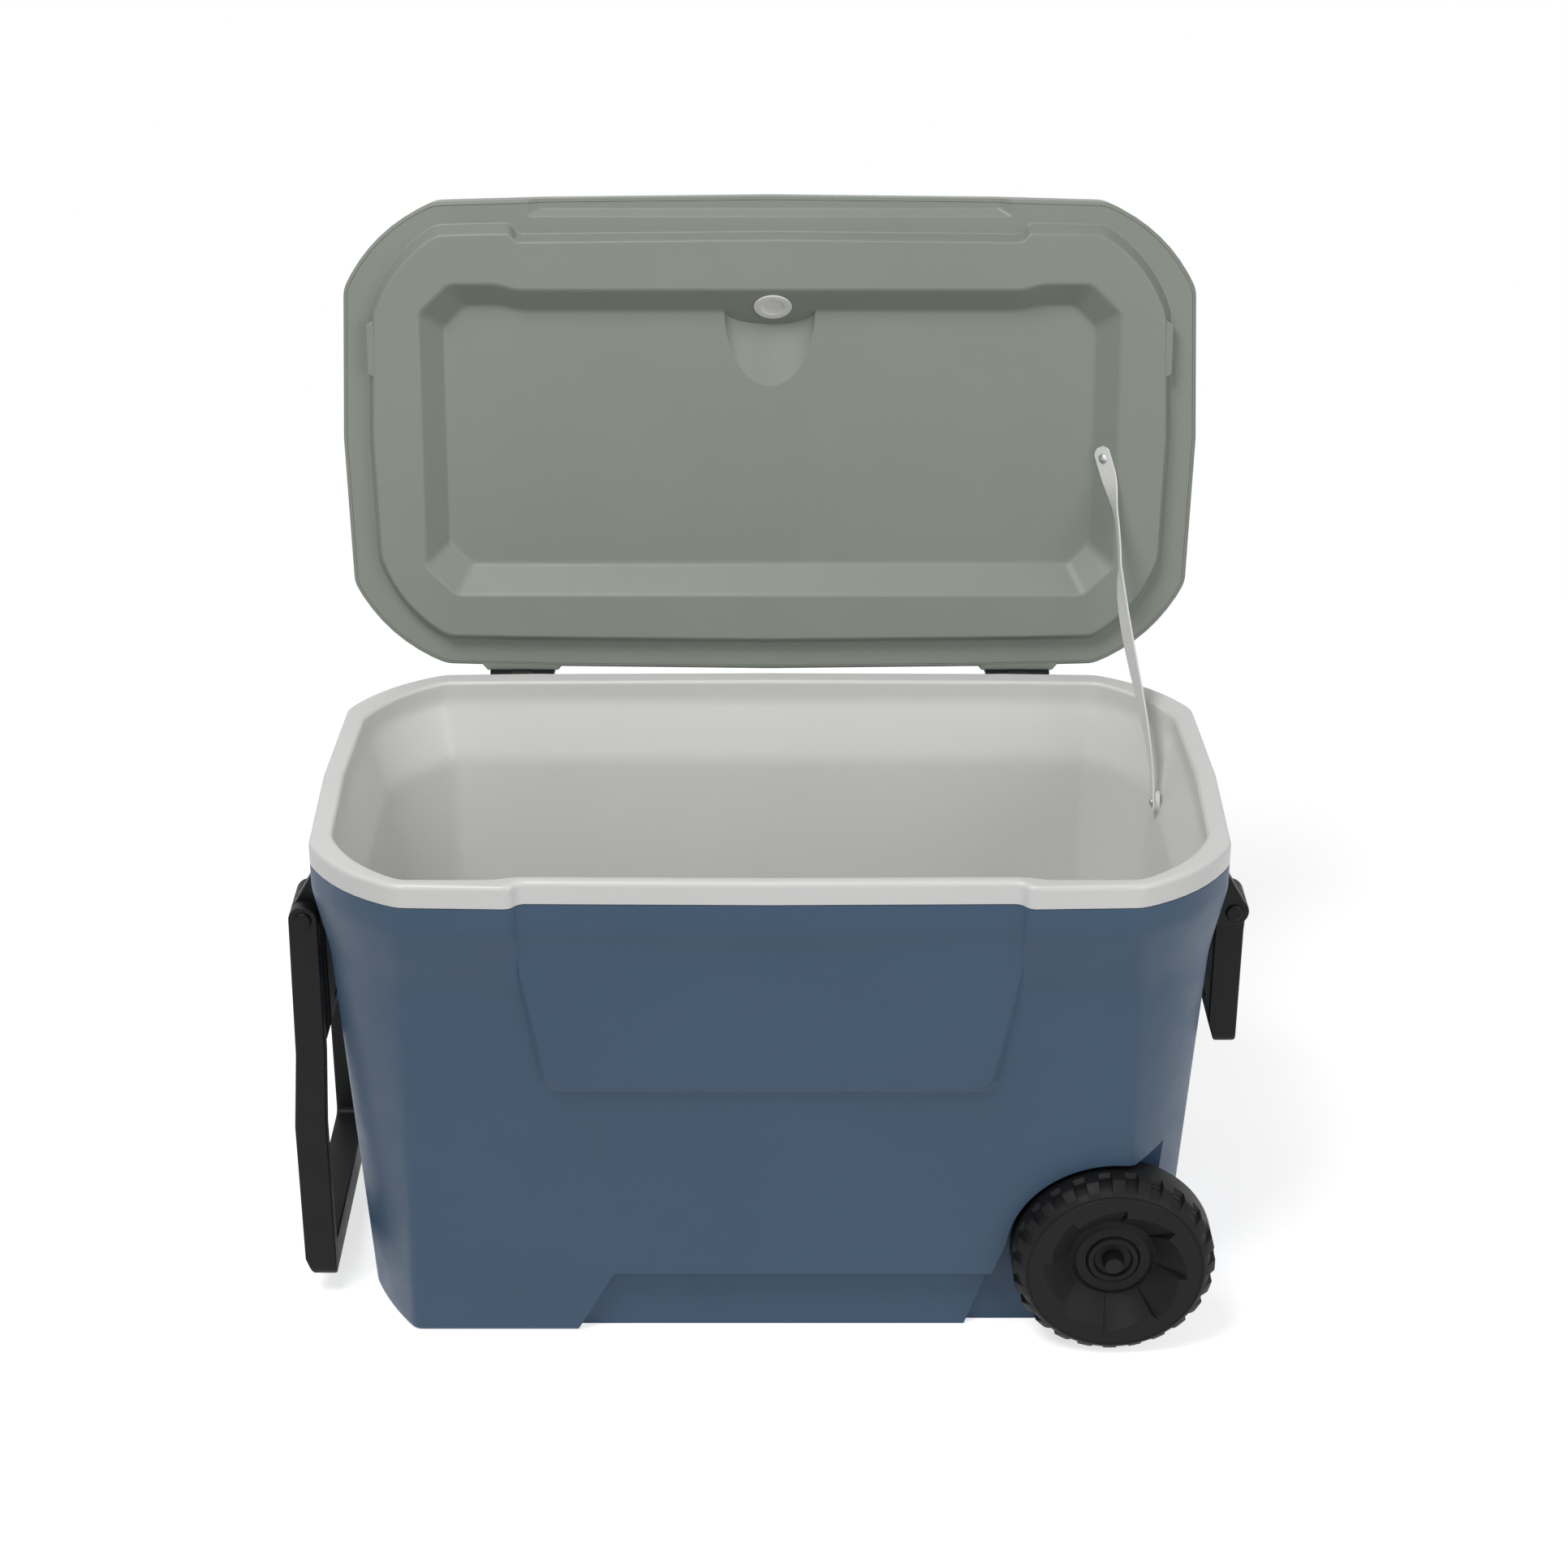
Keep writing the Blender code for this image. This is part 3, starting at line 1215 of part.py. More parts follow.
def make_hinge(side, name):
    """A butt hinge: a leaf on the tub with two knuckles, a leaf on the lid with one, and a pin."""
    centre = side * HINGE_X
    low_x, high_x = centre - HINGE_HALF_WIDTH, centre + HINGE_HALF_WIDTH
    hole = rod(
        (low_x - OVERRUN, HINGE_AXIS_Y, HINGE_AXIS_Z),
        (high_x + OVERRUN, HINGE_AXIS_Y, HINGE_AXIS_Z),
        HINGE_PIN_RADIUS + GAP,
        FEW_SIDES,
    )
    near = HINGE_SEAT_Y + GAP
    leaf_top = HINGE_AXIS_Z - KNUCKLE_RADIUS - 2 * GAP
    leaf = box((low_x, near, TUB_LEAF_FOOT_Z), (high_x, near + LEAF_THICKNESS, leaf_top))
    tub_leaf = new_object(f"hinge_leaf_tub_{name}", leaf, BLACK)
    shift = HINGE_HALF_WIDTH - KNUCKLE_WIDTH / 2
    for number, offset in ((1, -shift), (2, shift)):
        web = box(
            (centre + offset - KNUCKLE_WIDTH / 2, near, leaf_top - LEAF_WEB / 2),
            (centre + offset + KNUCKLE_WIDTH / 2, HINGE_AXIS_Y, HINGE_AXIS_Z),
        )
        boolean(tub_leaf, new_object(f"tub_web_{name}_{number}", web), "UNION")
        barrel = knuckle(centre + offset, KNUCKLE_WIDTH / 2)
        boolean(tub_leaf, new_object(f"tub_knuckle_{name}_{number}", barrel), "UNION")
    boolean(tub_leaf, new_object(f"tub_pin_hole_{name}", hole))
    cut_hinge_screw_holes(tub_leaf, "tub")

    lid_near = LID_TAB_Y + GAP
    lid_far = lid_near + LEAF_THICKNESS
    lid_foot = HINGE_AXIS_Z + KNUCKLE_RADIUS + GAP
    plate = box((low_x, lid_near, lid_foot), (high_x, lid_far, LID_PLANE + LID_LEAF_TOP))
    lid_leaf = lid_piece(f"hinge_leaf_lid_{name}", plate, BLACK)
    half_gap = HINGE_HALF_WIDTH - KNUCKLE_WIDTH - EAR_CLEARANCE
    web = box(
        (centre - half_gap, lid_near, HINGE_AXIS_Z),
        (centre + half_gap, lid_far, lid_foot + LEAF_WEB),
    )
    boolean(lid_leaf, lid_piece(f"lid_web_{name}", web), "UNION")
    boolean(lid_leaf, lid_piece(f"lid_knuckle_{name}", knuckle(centre, half_gap)), "UNION")
    lid_hole = rod(
        (low_x - OVERRUN, HINGE_AXIS_Y, HINGE_AXIS_Z),
        (high_x + OVERRUN, HINGE_AXIS_Y, HINGE_AXIS_Z),
        HINGE_PIN_RADIUS + GAP,
        FEW_SIDES,
    )
    boolean(lid_leaf, lid_piece(f"lid_pin_hole_{name}", lid_hole))
    cut_hinge_screw_holes(lid_leaf, "lid")

    left, right = (low_x, HINGE_AXIS_Y, HINGE_AXIS_Z), (high_x, HINGE_AXIS_Y, HINGE_AXIS_Z)
    pin = rod(left, right, HINGE_PIN_RADIUS, FEW_SIDES)
    new_object(f"hinge_pin_{name}", pin, STEEL, HINGE_AXIS)


def make_hinge_screws():
    for name, place, seat in hinge_screw_places():
        if place == "lid":
            lid_piece(name, hinge_screw(seat), STEEL)
        else:
            new_object(name, hinge_screw(seat), STEEL)


def mirrored(points, side):
    """Outline points across X, turned to the other end of the chest for side -1, kept anticlockwise."""
    if side > 0:
        return points
    return [(-first, second) for first, second in reversed(points)]


def bracket_screw_places(side):
    face = side * (BRACKET_SEAT_X + GAP + BRACKET_PLATE)
    return [
        ((face, -BRACKET_SCREW_Y, BRACKET_SCREW_Z), 1),
        ((face, BRACKET_SCREW_Y, BRACKET_SCREW_Z), 2),
    ]


def bracket_screw(seat, side, growth=0):
    grip = BRACKET_PLATE + GAP + BRACKET_SCREW_GRIP
    return screw_shape(
        seat,
        (side, 0, 0),
        BRACKET_SCREW_HEAD,
        BRACKET_SCREW_HEAD_THICKNESS,
        BRACKET_SCREW_RADIUS,
        grip,
        growth,
    )


def cut_bracket_screw_holes(target):
    for side, name in ((-1, "left"), (1, "right")):
        for seat, number in bracket_screw_places(side):
            hole_name = f"{target.name}_{name}_bracket_screw_hole_{number}"
            boolean(target, new_object(hole_name, bracket_screw(seat, side, GAP)))


def pivot_rod(side, end, near, far, radius, sides=SOME_SIDES):
    """A rod on a handle's pivot axis: side is the chest's end, end is the front or the back ear."""
    return rod((side * PIVOT_X, end * near, PIVOT_Z), (side * PIVOT_X, end * far, PIVOT_Z), radius, sides)


def make_bracket(side, name):
    """The handle bracket under the rim: a plate with an ear at each end of it."""
    seat = BRACKET_SEAT_X + GAP
    plate_x = sorted((side * seat, side * (seat + BRACKET_PLATE)))
    plate = box((plate_x[0], -BRACKET_HALF_Y, BRACKET_FOOT_Z), (plate_x[1], BRACKET_HALF_Y, BRACKET_TOP_Z))
    bracket = new_object(f"handle_bracket_{name}", plate, BLACK)
    profile = [(seat, BRACKET_FOOT_Z), (PIVOT_X, BRACKET_FOOT_Z)]
    profile += arc((PIVOT_X, PIVOT_Z), EYE_RADIUS, -90, 50, 7)[1:]
    profile += [(seat + BRACKET_TOP_RUN, BRACKET_TOP_Z), (seat, BRACKET_TOP_Z)]
    for end, label in ((-1, "front"), (1, "rear")):
        low, high = sorted((end * EAR_INNER_Y, end * EAR_OUTER_Y))
        ear = prism(mirrored(profile, side), "Y", low, high)
        boolean(bracket, new_object(f"{name}_{label}_ear", ear), "UNION")
    hole = pivot_rod(side, 1, -RIM_HALF_Y, RIM_HALF_Y, PIVOT_PIN_RADIUS + GAP)
    boolean(bracket, new_object(f"{name}_bracket_pivot_hole", hole))
    cut_bracket_screw_holes(bracket)
    for place, number in bracket_screw_places(side):
        new_object(f"bracket_screw_{name}_{number}", bracket_screw(place, side), STEEL)


def u_outline(outer, inner, foot, bar, top, corner):
    """A U seen along X: two arms joined by a bar at the foot, with rounded lower corners."""
    points = [
        (-outer, foot),
        (outer, foot),
        (outer, top),
        (inner, top),
        (inner, foot + bar),
        (-inner, foot + bar),
        (-inner, top),
        (-outer, top),
    ]
    rounded = softened(points, {0, 1}, corner, 3)
    inner_corners = {len(rounded) - 4, len(rounded) - 3}
    return softened(rounded, inner_corners, corner / 2, 2)


def make_handle(name, side, outer, arm, foot, bar, corner, profile):
    """A U-shaped handle, cut to its profile across Y, with a pivot hole in each arm."""
    pivot = Vector((side * PIVOT_X, 0, PIVOT_Z))
    top = PIVOT_Z + EYE_RADIUS + OVERRUN
    outline = u_outline(outer, outer - arm, foot, bar, top, corner)
    reach = sorted((side * (BRACKET_SEAT_X - OVERRUN), side * (PIVOT_X + 2 * OVERRUN + OVERRUN)))
    handle = new_object(name, prism(outline, "X", reach[0], reach[1]), BLACK, pivot)
    keep = prism(mirrored(profile, side), "Y", -RIM_HALF_Y, RIM_HALF_Y)
    boolean(handle, new_object(f"{name}_profile", keep), "INTERSECT")
    hole = pivot_rod(side, 1, -RIM_HALF_Y, RIM_HALF_Y, PIVOT_PIN_RADIUS + GAP)
    boolean(handle, new_object(f"{name}_pivot_hole", hole))
    return handle


def make_carry_handle(side, name):
    eye = arc((PIVOT_X, PIVOT_Z), EYE_RADIUS, 0, 180, 8)
    profile = [
        (CARRY_INNER_X, CARRY_FOOT_Z + CARRY_CHAMFER_RISE),
        (CARRY_INNER_X + CARRY_CHAMFER_RUN, CARRY_FOOT_Z),
        (CARRY_OUTER_X - CARRY_FOOT_CHAMFER, CARRY_FOOT_Z),
        (CARRY_OUTER_X, CARRY_FOOT_Z + CARRY_FOOT_CHAMFER),
        (CARRY_OUTER_X, PIVOT_Z - 2 * EYE_RADIUS),
    ]
    profile += eye
    profile.append((CARRY_INNER_X, PIVOT_Z - 2 * EYE_RADIUS))
    outer = EAR_INNER_Y - EAR_CLEARANCE
    return make_handle(
        f"carry_handle_{name}",
        side,
        outer,
        CARRY_ARM_WIDTH,
        CARRY_FOOT_Z,
        CARRY_BAR_HEIGHT,
        CARRY_CORNER,
        profile,
    )


def make_tow_handle():
    eye = arc((PIVOT_X, PIVOT_Z), EYE_RADIUS, 0, 180, 8)
    profile = [
        (TOW_LOWER_INNER_X, TOW_FOOT_Z + TOW_CHAMFER_RUN / 2),
        (TOW_LOWER_INNER_X + TOW_CHAMFER_RUN / 2, TOW_FOOT_Z),
        (TOW_LOWER_OUTER_X - TOW_CHAMFER_RUN, TOW_FOOT_Z),
        (TOW_LOWER_OUTER_X, TOW_FOOT_Z + TOW_CHAMFER_RISE),
        (TOW_LOWER_OUTER_X, TOW_KINK_FOOT_Z),
        (TOW_UPPER_OUTER_X, TOW_KINK_TOP_Z),
    ]
    profile += eye
    profile += [(TOW_UPPER_INNER_X, TOW_KINK_TOP_Z), (TOW_LOWER_INNER_X, TOW_KINK_FOOT_Z)]
    outer = EAR_OUTER_Y + EAR_CLEARANCE + TOW_ARM_WIDTH
    return make_handle(
        "tow_handle", -1, outer, TOW_ARM_WIDTH, TOW_FOOT_Z, TOW_BAR_HEIGHT, TOW_CORNER, profile
    )


def make_pivot_pins():
    """Pins through the ears and the arms, longer at the left end, where they also carry the tow handle."""
    inner = EAR_INNER_Y - EAR_CLEARANCE - CARRY_ARM_WIDTH
    for side, name in ((-1, "left"), (1, "right")):
        outer = EAR_OUTER_Y
        if side < 0:
            outer += EAR_CLEARANCE + TOW_ARM_WIDTH
        for end, label in ((-1, "front"), (1, "rear")):
            head = pivot_rod(side, end, outer + GAP, outer + GAP + PIVOT_PIN_HEAD_THICKNESS, PIVOT_PIN_HEAD)
            pin = new_object(f"pivot_pin_{name}_{label}", head, STEEL)
            middle = outer + GAP + PIVOT_PIN_HEAD_THICKNESS / 2
            shank = pivot_rod(side, end, inner, middle, PIVOT_PIN_RADIUS)
            boolean(pin, new_object(f"pivot_pin_{name}_{label}_shank", shank), "UNION")


def wheel_profile():
    """The wheel's section, radius and height over its back, from the hub's front down the outside."""
    width = WHEEL_WIDTH
    hub_front = width - HUB_SINK
    bore = AXLE_RADIUS + GAP
    return [
        (bore, hub_front),
        (HUB_RADIUS, hub_front),
        (HUB_RADIUS + RING_CREST, hub_front - RING_CREST),
        (HUB_RING_RADIUS, hub_front - RING_CREST),
        (DISH_FOOT_RADIUS, width - DISH_FOOT_SINK),
        (DISH_TOP_RADIUS, width - RING_CREST),
        (FACE_RING_RADIUS, width),
        (WHEEL_RADIUS, width - SHOULDER_SINK),
        (WHEEL_RADIUS, BACK_SHOULDER),
        (WHEEL_RADIUS - BACK_SHOULDER, 0),
        (BACK_RING_RADIUS, 0),
        (BACK_RING_RADIUS - BACK_SHOULDER, BACK_DISH_DEPTH),
        (HUB_RADIUS, BACK_DISH_DEPTH),
        (HUB_RADIUS - RING_CREST, 0),
        (bore, 0),
    ]


def make_wheel(end, name):
    """A wheel turned about its axle: face ring, dished hub with vanes, and a lugged tread."""
    centre = Vector((WHEEL_X, end * HUB_BACK_Y, WHEEL_CENTRE_Z))
    mesh = bpy.data.meshes.new(f"wheel_{name}")
    points = wheel_profile()
    count = len(points)
    edges = [(index, (index + 1) % count) for index in range(count)]
    mesh.from_pydata([(radius, 0, height) for radius, height in points], edges, [])
    wheel = bpy.data.objects.new(f"wheel_{name}", mesh)
    parts.objects.link(wheel)
    mesh.materials.append(new_look(f"wheel_{name}_look", BLACK))
    wheel.location = centre
    wheel.rotation_euler = (-end * math.pi / 2, 0, 0)
    screw = wheel.modifiers.new("turned", "SCREW")
    screw.steps = WHEEL_STEPS
    screw.render_steps = WHEEL_STEPS
    screw.use_merge_vertices = True
    screw.merge_threshold = 0.00001
    screw.use_smooth_shade = False

    def wheel_tool(tool_name, bm):
        tool = new_object(tool_name, bm)
        tool.location = centre
        tool.rotation_euler = wheel.rotation_euler
        return tool

    vanes = bmesh.new()
    for number in range(VANE_COUNT):
        angle = math.tau * number / VANE_COUNT
        vane = box(
            (HUB_RING_RADIUS + RING_CREST, -VANE_THICKNESS / 2, WHEEL_WIDTH - DISH_FOOT_SINK - RING_CREST),
            (FACE_RING_RADIUS - HUB_SINK / 2, VANE_THICKNESS / 2, WHEEL_WIDTH - 2 * RING_CREST),
        )
        merge(vanes, vane, Matrix.Rotation(angle, 4, "Z"))
    boolean(wheel, wheel_tool(f"wheel_{name}_vanes", vanes), "UNION")
    grooves = bmesh.new()
    for number in range(LUG_COUNT):
        angle = math.tau * (number + 1 / 2) / LUG_COUNT
        groove = box(
            (WHEEL_RADIUS - LUG_DEPTH, -LUG_GROOVE_WIDTH / 2, WHEEL_WIDTH - LUG_LENGTH),
            (WHEEL_RADIUS + OVERRUN, LUG_GROOVE_WIDTH / 2, WHEEL_WIDTH + OVERRUN),
        )
        merge(grooves, groove, Matrix.Rotation(angle, 4, "Z"))
    boolean(wheel, wheel_tool(f"wheel_{name}_grooves", grooves))


def merge(target, piece, matrix):
    """Adds a piece to a bmesh, moved by a matrix."""
    bmesh.ops.transform(piece, matrix=matrix, verts=piece.verts[:])
    mesh = bpy.data.meshes.new("piece")
    piece.to_mesh(mesh)
    piece.free()
    target.from_mesh(mesh)
    bpy.data.meshes.remove(mesh)


def make_axle():
    hub_front_y = WHEEL_FACE_Y - HUB_SINK
    end_y = hub_front_y + AXLE_STICK_OUT
    axle = rod((WHEEL_X, -end_y, WHEEL_CENTRE_Z), (WHEEL_X, end_y, WHEEL_CENTRE_Z), AXLE_RADIUS)
    new_object("axle", axle, STEEL)
    for end, name in ((-1, "front"), (1, "rear")):

        def at(y):
            return (WHEEL_X, end * y, WHEEL_CENTRE_Z)

        spacer = rod(at(WELL_WALL_Y + GAP), at(HUB_BACK_Y - GAP), SPACER_RADIUS)
        ring = new_object(f"axle_spacer_{name}", spacer, BLACK)
        bore = rod(at(WELL_WALL_Y - OVERRUN), at(HUB_BACK_Y + OVERRUN), AXLE_RADIUS + GAP)
        boolean(ring, new_object(f"axle_spacer_{name}_bore", bore))
        foot = hub_front_y + GAP
        crown = end_y + AXLE_CAP_WALL
        cap = rod(at(foot), at(crown), AXLE_CAP_RADIUS, ROUND_SIDES, AXLE_CAP_RADIUS - AXLE_CAP_WALL)
        cap = new_object(f"axle_cap_{name}", cap, BLACK)
        socket = rod(at(foot - OVERRUN), at(end_y + GAP), AXLE_RADIUS + GAP)
        boolean(cap, new_object(f"axle_cap_{name}_socket", socket))


def lid_world(point):
    """Where a point of the lid, drawn closed, lies with the lid open."""
    return HINGE_AXIS + Matrix.Rotation(-LID_OPEN, 3, "X") @ (Vector(point) - HINGE_AXIS)


def strap_lid_seat():
    """The strap's seat on the right slope of the lid's pocket, drawn closed, and its normal."""
    return slope_point(LID_HALF_Y - STRAP_LID_ALONG, 1 / 2, False)


def strap_lid_screw(growth=0):
    place, normal = strap_lid_seat()
    seat = place + normal * (GAP + STRAP_THICKNESS)
    grip = STRAP_THICKNESS + GAP + STRAP_SCREW_GRIP
    return screw_shape(
        seat, normal, STRAP_SCREW_HEAD, STRAP_SCREW_HEAD_THICKNESS, STRAP_SCREW_RADIUS, grip, growth
    )


def strap_tub_screw(growth=0):
    seat = (STRAP_BOSS_X - GAP - STRAP_THICKNESS, STRAP_TUB_Y, STRAP_TUB_Z)
    grip = STRAP_THICKNESS + GAP + STRAP_SCREW_GRIP
    return screw_shape(
        seat, (-1, 0, 0), STRAP_SCREW_HEAD, STRAP_SCREW_HEAD_THICKNESS, STRAP_SCREW_RADIUS, grip, growth
    )


def make_strap():
    """A flat strap from the boss in the tub to the slope in the lid, twisting on the way."""
    tub_seat = Vector((STRAP_BOSS_X - GAP - STRAP_THICKNESS / 2, STRAP_TUB_Y, STRAP_TUB_Z))
    place, normal = strap_lid_seat()
    lid_seat = lid_world(place + normal * (GAP + STRAP_THICKNESS / 2))
    lid_normal = Matrix.Rotation(-LID_OPEN, 3, "X") @ normal
    tub_normal = Vector((-1, 0, 0))
    run = lid_seat - tub_seat
    tub_along = (run - tub_normal * run.dot(tub_normal)).normalized()
    lid_along = (run - lid_normal * run.dot(lid_normal)).normalized()
    start = tub_seat + tub_along * STRAP_TAB
    end = lid_seat - lid_along * STRAP_TAB
    reach = (end - start).length
    centres = [tub_seat - tub_along * STRAP_TAB * 2 / 3]
    for step in range(STRAP_STEPS + 1):
        share = step / STRAP_STEPS
        pull = reach / 3
        a, b, c, d = start, start + tub_along * pull, end - lid_along * pull, end
        rest = 1 - share
        centres.append(a * rest**3 + b * 3 * rest**2 * share + c * 3 * rest * share**2 + d * share**3)
    centres.append(lid_seat + lid_along * STRAP_TAB * 2 / 3)
    rings = []
    last = len(centres) - 1
    for index, centre in enumerate(centres):
        ahead = centres[min(index + 1, last)] - centres[max(index - 1, 0)]
        share = min(max((index - 1) / (last - 2), 0), 1)
        facing = tub_normal.lerp(lid_normal, share)
        across = ahead.cross(facing).normalized() * STRAP_WIDTH / 2
        thick = across.cross(ahead).normalized() * STRAP_THICKNESS / 2
        below, above = centre - thick, centre + thick
        rings.append([below - across, below + across, above + across, above - across])
    strap = new_object("lid_strap", loft(rings), WHITE)
    boolean(strap, new_object("strap_tub_hole", strap_tub_screw(GAP)))
    boolean(strap, lid_piece("strap_lid_hole", strap_lid_screw(GAP)))
    new_object("strap_screw_tub", strap_tub_screw(), STEEL)
    lid_piece("strap_screw_lid", strap_lid_screw(), STEEL)


def make_drain():
    """Drain fitting through the left end: gasket and flange outside, nut inside, a cap and its tether."""

    def at(x, height=0):
        return (-x, 0, DRAIN_Z + height)

    seat = DRAIN_SEAT_X
    gasket_out = seat + GAP + DRAIN_GASKET
    flange_in = gasket_out + GAP
    flange_out = flange_in + DRAIN_FLANGE
    neck_out = flange_out + DRAIN_NECK
    wall_in = TUB_FOOT_HALF_X
    nut_out = wall_in - GAP - LINER_WALL
    nut_in = nut_out - DRAIN_NUT
    tube_in = nut_in - DRAIN_THREAD_END

    gasket = new_object("drain_gasket", rod(at(seat + GAP), at(gasket_out), DRAIN_FLANGE_RADIUS), RUBBER)
    hole = rod(at(seat - OVERRUN), at(gasket_out + OVERRUN), DRAIN_TUBE_RADIUS + GAP)
    boolean(gasket, new_object("drain_gasket_hole", hole))

    fitting = new_object("drain_fitting", rod(at(tube_in), at(neck_out), DRAIN_TUBE_RADIUS), WHITE)
    flange = rod(at(flange_in), at(flange_out), DRAIN_FLANGE_RADIUS)
    boolean(fitting, new_object("drain_flange", flange), "UNION")
    bore = rod(at(tube_in - OVERRUN), at(neck_out + OVERRUN), DRAIN_BORE_RADIUS)
    boolean(fitting, new_object("drain_bore", bore))

    nut = new_object("drain_nut", rod(at(nut_in), at(nut_out), DRAIN_NUT_RADIUS, 6), WHITE)
    nut_hole = rod(at(nut_in - OVERRUN), at(nut_out + OVERRUN), DRAIN_TUBE_RADIUS + GAP)
    boolean(nut, new_object("drain_nut_hole", nut_hole))

    ring_out = flange_out + GAP + TETHER_THICKNESS
    cap_in = ring_out + GAP
    cap_out = neck_out + GAP + DRAIN_CAP_WALL
    cap_origin = Vector(at(0))
    cap = new_object("drain_cap", rod(at(cap_in), at(cap_out), DRAIN_CAP_RADIUS), WHITE, cap_origin)
    knob = rod(at(cap_out - DRAIN_CAP_WALL / 2), at(cap_out + DRAIN_KNOB_LENGTH), DRAIN_CAP_KNOB)
    boolean(cap, new_object("drain_cap_knob", knob), "UNION")
    socket = rod(at(cap_in - OVERRUN), at(neck_out + GAP), DRAIN_TUBE_RADIUS + GAP)
    boolean(cap, new_object("drain_cap_socket", socket))

    ring_in = flange_out + GAP
    loop_in = cap_out + GAP
    loop_out = loop_in + TETHER_THICKNESS
    skin = TETHER_THICKNESS / 4
    band_low = DRAIN_Z + DRAIN_CAP_RADIUS + GAP
    band_high = band_low + TETHER_THICKNESS
    ring_low = DRAIN_Z + DRAIN_TUBE_RADIUS + TETHER_RING / 2
    loop_low = DRAIN_Z + DRAIN_CAP_KNOB + TETHER_RING / 2
    outline = [
        (-ring_in - skin, ring_low),
        (-ring_in - skin, band_high),
        (-loop_out + skin, band_high),
        (-loop_out + skin, loop_low),
        (-loop_in - skin, loop_low),
        (-loop_in - skin, band_low),
        (-ring_out + skin, band_low),
        (-ring_out + skin, ring_low),
    ]
    tether = new_object("drain_tether", prism(outline, "Y", -TETHER_WIDTH / 2, TETHER_WIDTH / 2), WHITE)
    ring = rod(at(ring_in), at(ring_out), DRAIN_TUBE_RADIUS + GAP + TETHER_RING)
    boolean(tether, new_object("drain_tether_ring", ring), "UNION")
    loop = rod(at(loop_in), at(loop_out), DRAIN_CAP_KNOB + GAP + TETHER_RING)
    boolean(tether, new_object("drain_tether_loop", loop), "UNION")
    inner = rod(at(flange_out - OVERRUN / 2), at(ring_out + GAP), DRAIN_TUBE_RADIUS + GAP)
    boolean(tether, new_object("drain_tether_ring_hole", inner))
    outer = rod(at(loop_in - OVERRUN / 2), at(loop_out + OVERRUN), DRAIN_CAP_KNOB + GAP)
    boolean(tether, new_object("drain_tether_loop_hole", outer))


for old in list(bpy.data.objects):
    bpy.data.objects.remove(old)
parts = new_collection("wheeled_cooler")
cutters = new_collection("cutters")
lid_axis = new_empty("lid_axis", HINGE_AXIS, -LID_OPEN)

make_body_shell()
make_tub_foam()
make_tub_liner()
make_lid_shell()
make_lid_foam()
make_lid_liner()
make_foam_plug()
for hinge_side, hinge_name in ((-1, "left"), (1, "right")):
    make_hinge(hinge_side, hinge_name)
    make_bracket(hinge_side, hinge_name)
    make_carry_handle(hinge_side, hinge_name)
make_hinge_screws()
make_tow_handle()
make_pivot_pins()
for wheel_end, wheel_name in ((-1, "front"), (1, "rear")):
    make_wheel(wheel_end, wheel_name)
make_axle()
make_strap()
make_drain()
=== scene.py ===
"""Wheeled cooler: its dressed pieces, their materials, soft studio light and the camera.

Metres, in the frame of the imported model. The lid's pieces are drawn as if closed and then turned open.
"""

import math

import bmesh
import bpy
from mathutils import Matrix, Vector


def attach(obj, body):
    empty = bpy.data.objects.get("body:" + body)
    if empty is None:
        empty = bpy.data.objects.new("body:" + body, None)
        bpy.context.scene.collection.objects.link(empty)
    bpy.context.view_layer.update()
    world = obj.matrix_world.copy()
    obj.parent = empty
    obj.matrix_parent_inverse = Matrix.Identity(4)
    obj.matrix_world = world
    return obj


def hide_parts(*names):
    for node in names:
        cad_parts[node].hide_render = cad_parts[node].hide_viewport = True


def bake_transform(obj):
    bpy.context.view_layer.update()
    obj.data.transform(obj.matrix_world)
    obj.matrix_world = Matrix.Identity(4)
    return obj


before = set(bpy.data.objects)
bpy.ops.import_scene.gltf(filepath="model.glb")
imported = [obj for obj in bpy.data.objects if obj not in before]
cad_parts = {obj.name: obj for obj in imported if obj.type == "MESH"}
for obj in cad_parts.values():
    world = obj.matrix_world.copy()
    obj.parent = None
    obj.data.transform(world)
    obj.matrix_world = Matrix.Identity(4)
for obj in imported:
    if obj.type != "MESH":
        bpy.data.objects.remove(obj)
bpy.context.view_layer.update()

# Camera, as a full-frame lens
IMAGE_PIXELS = 1932
SENSOR = 36.0
FOCAL_PIXELS = 3767.1
CAMERA_PLACE = (0.0, -2.2085, 1.4976)
CAMERA_PITCH = math.radians(26.0)
CENTRE_PIXEL_X = 948.5

# Clearances and walls
GAP = 0.0003
OVERRUN = 0.012
LINER_WALL = 0.0025
LID_WALL = 0.003
TOUCH = 0.0004

# Left and right, and front and rear, as signs and names
SIDES = ((-1, "left"), (1, "right"))
ENDS = ((-1, "front"), (1, "rear"))

# How round edges come out
ROUND_STEPS = 5
WIDEST_ROUND = 0.010
CUT_ROUND = 0.002
FOOT_EDGE_ROUND = 0.004
EDGE_ANGLE = math.radians(12)
FLAT_ANGLE = math.radians(0.2)
SMOOTH_ANGLE = math.radians(38)
ROUND_SIDES = 48
RING_SPACING = 0.03
FLARE_SHARE = 0.98
NODE_ROUND = 0.0004
SMALL_ROUND = 0.0008
BEVEL_SEGMENTS = 3
NODE_SEGMENTS = 2
DOME_STEPS = 6
DOME_ANGLES = [math.pi / 2 * step / DOME_STEPS for step in range(1, DOME_STEPS)]
HANDLE_EDGE_ANGLE = math.radians(30)
TWIST_ANGLE = math.radians(0.05)
CLEAN_ANGLE = math.radians(0.3)
MERGE_DISTANCE = 0.000005
CLEAN_DISTANCE = 0.00002

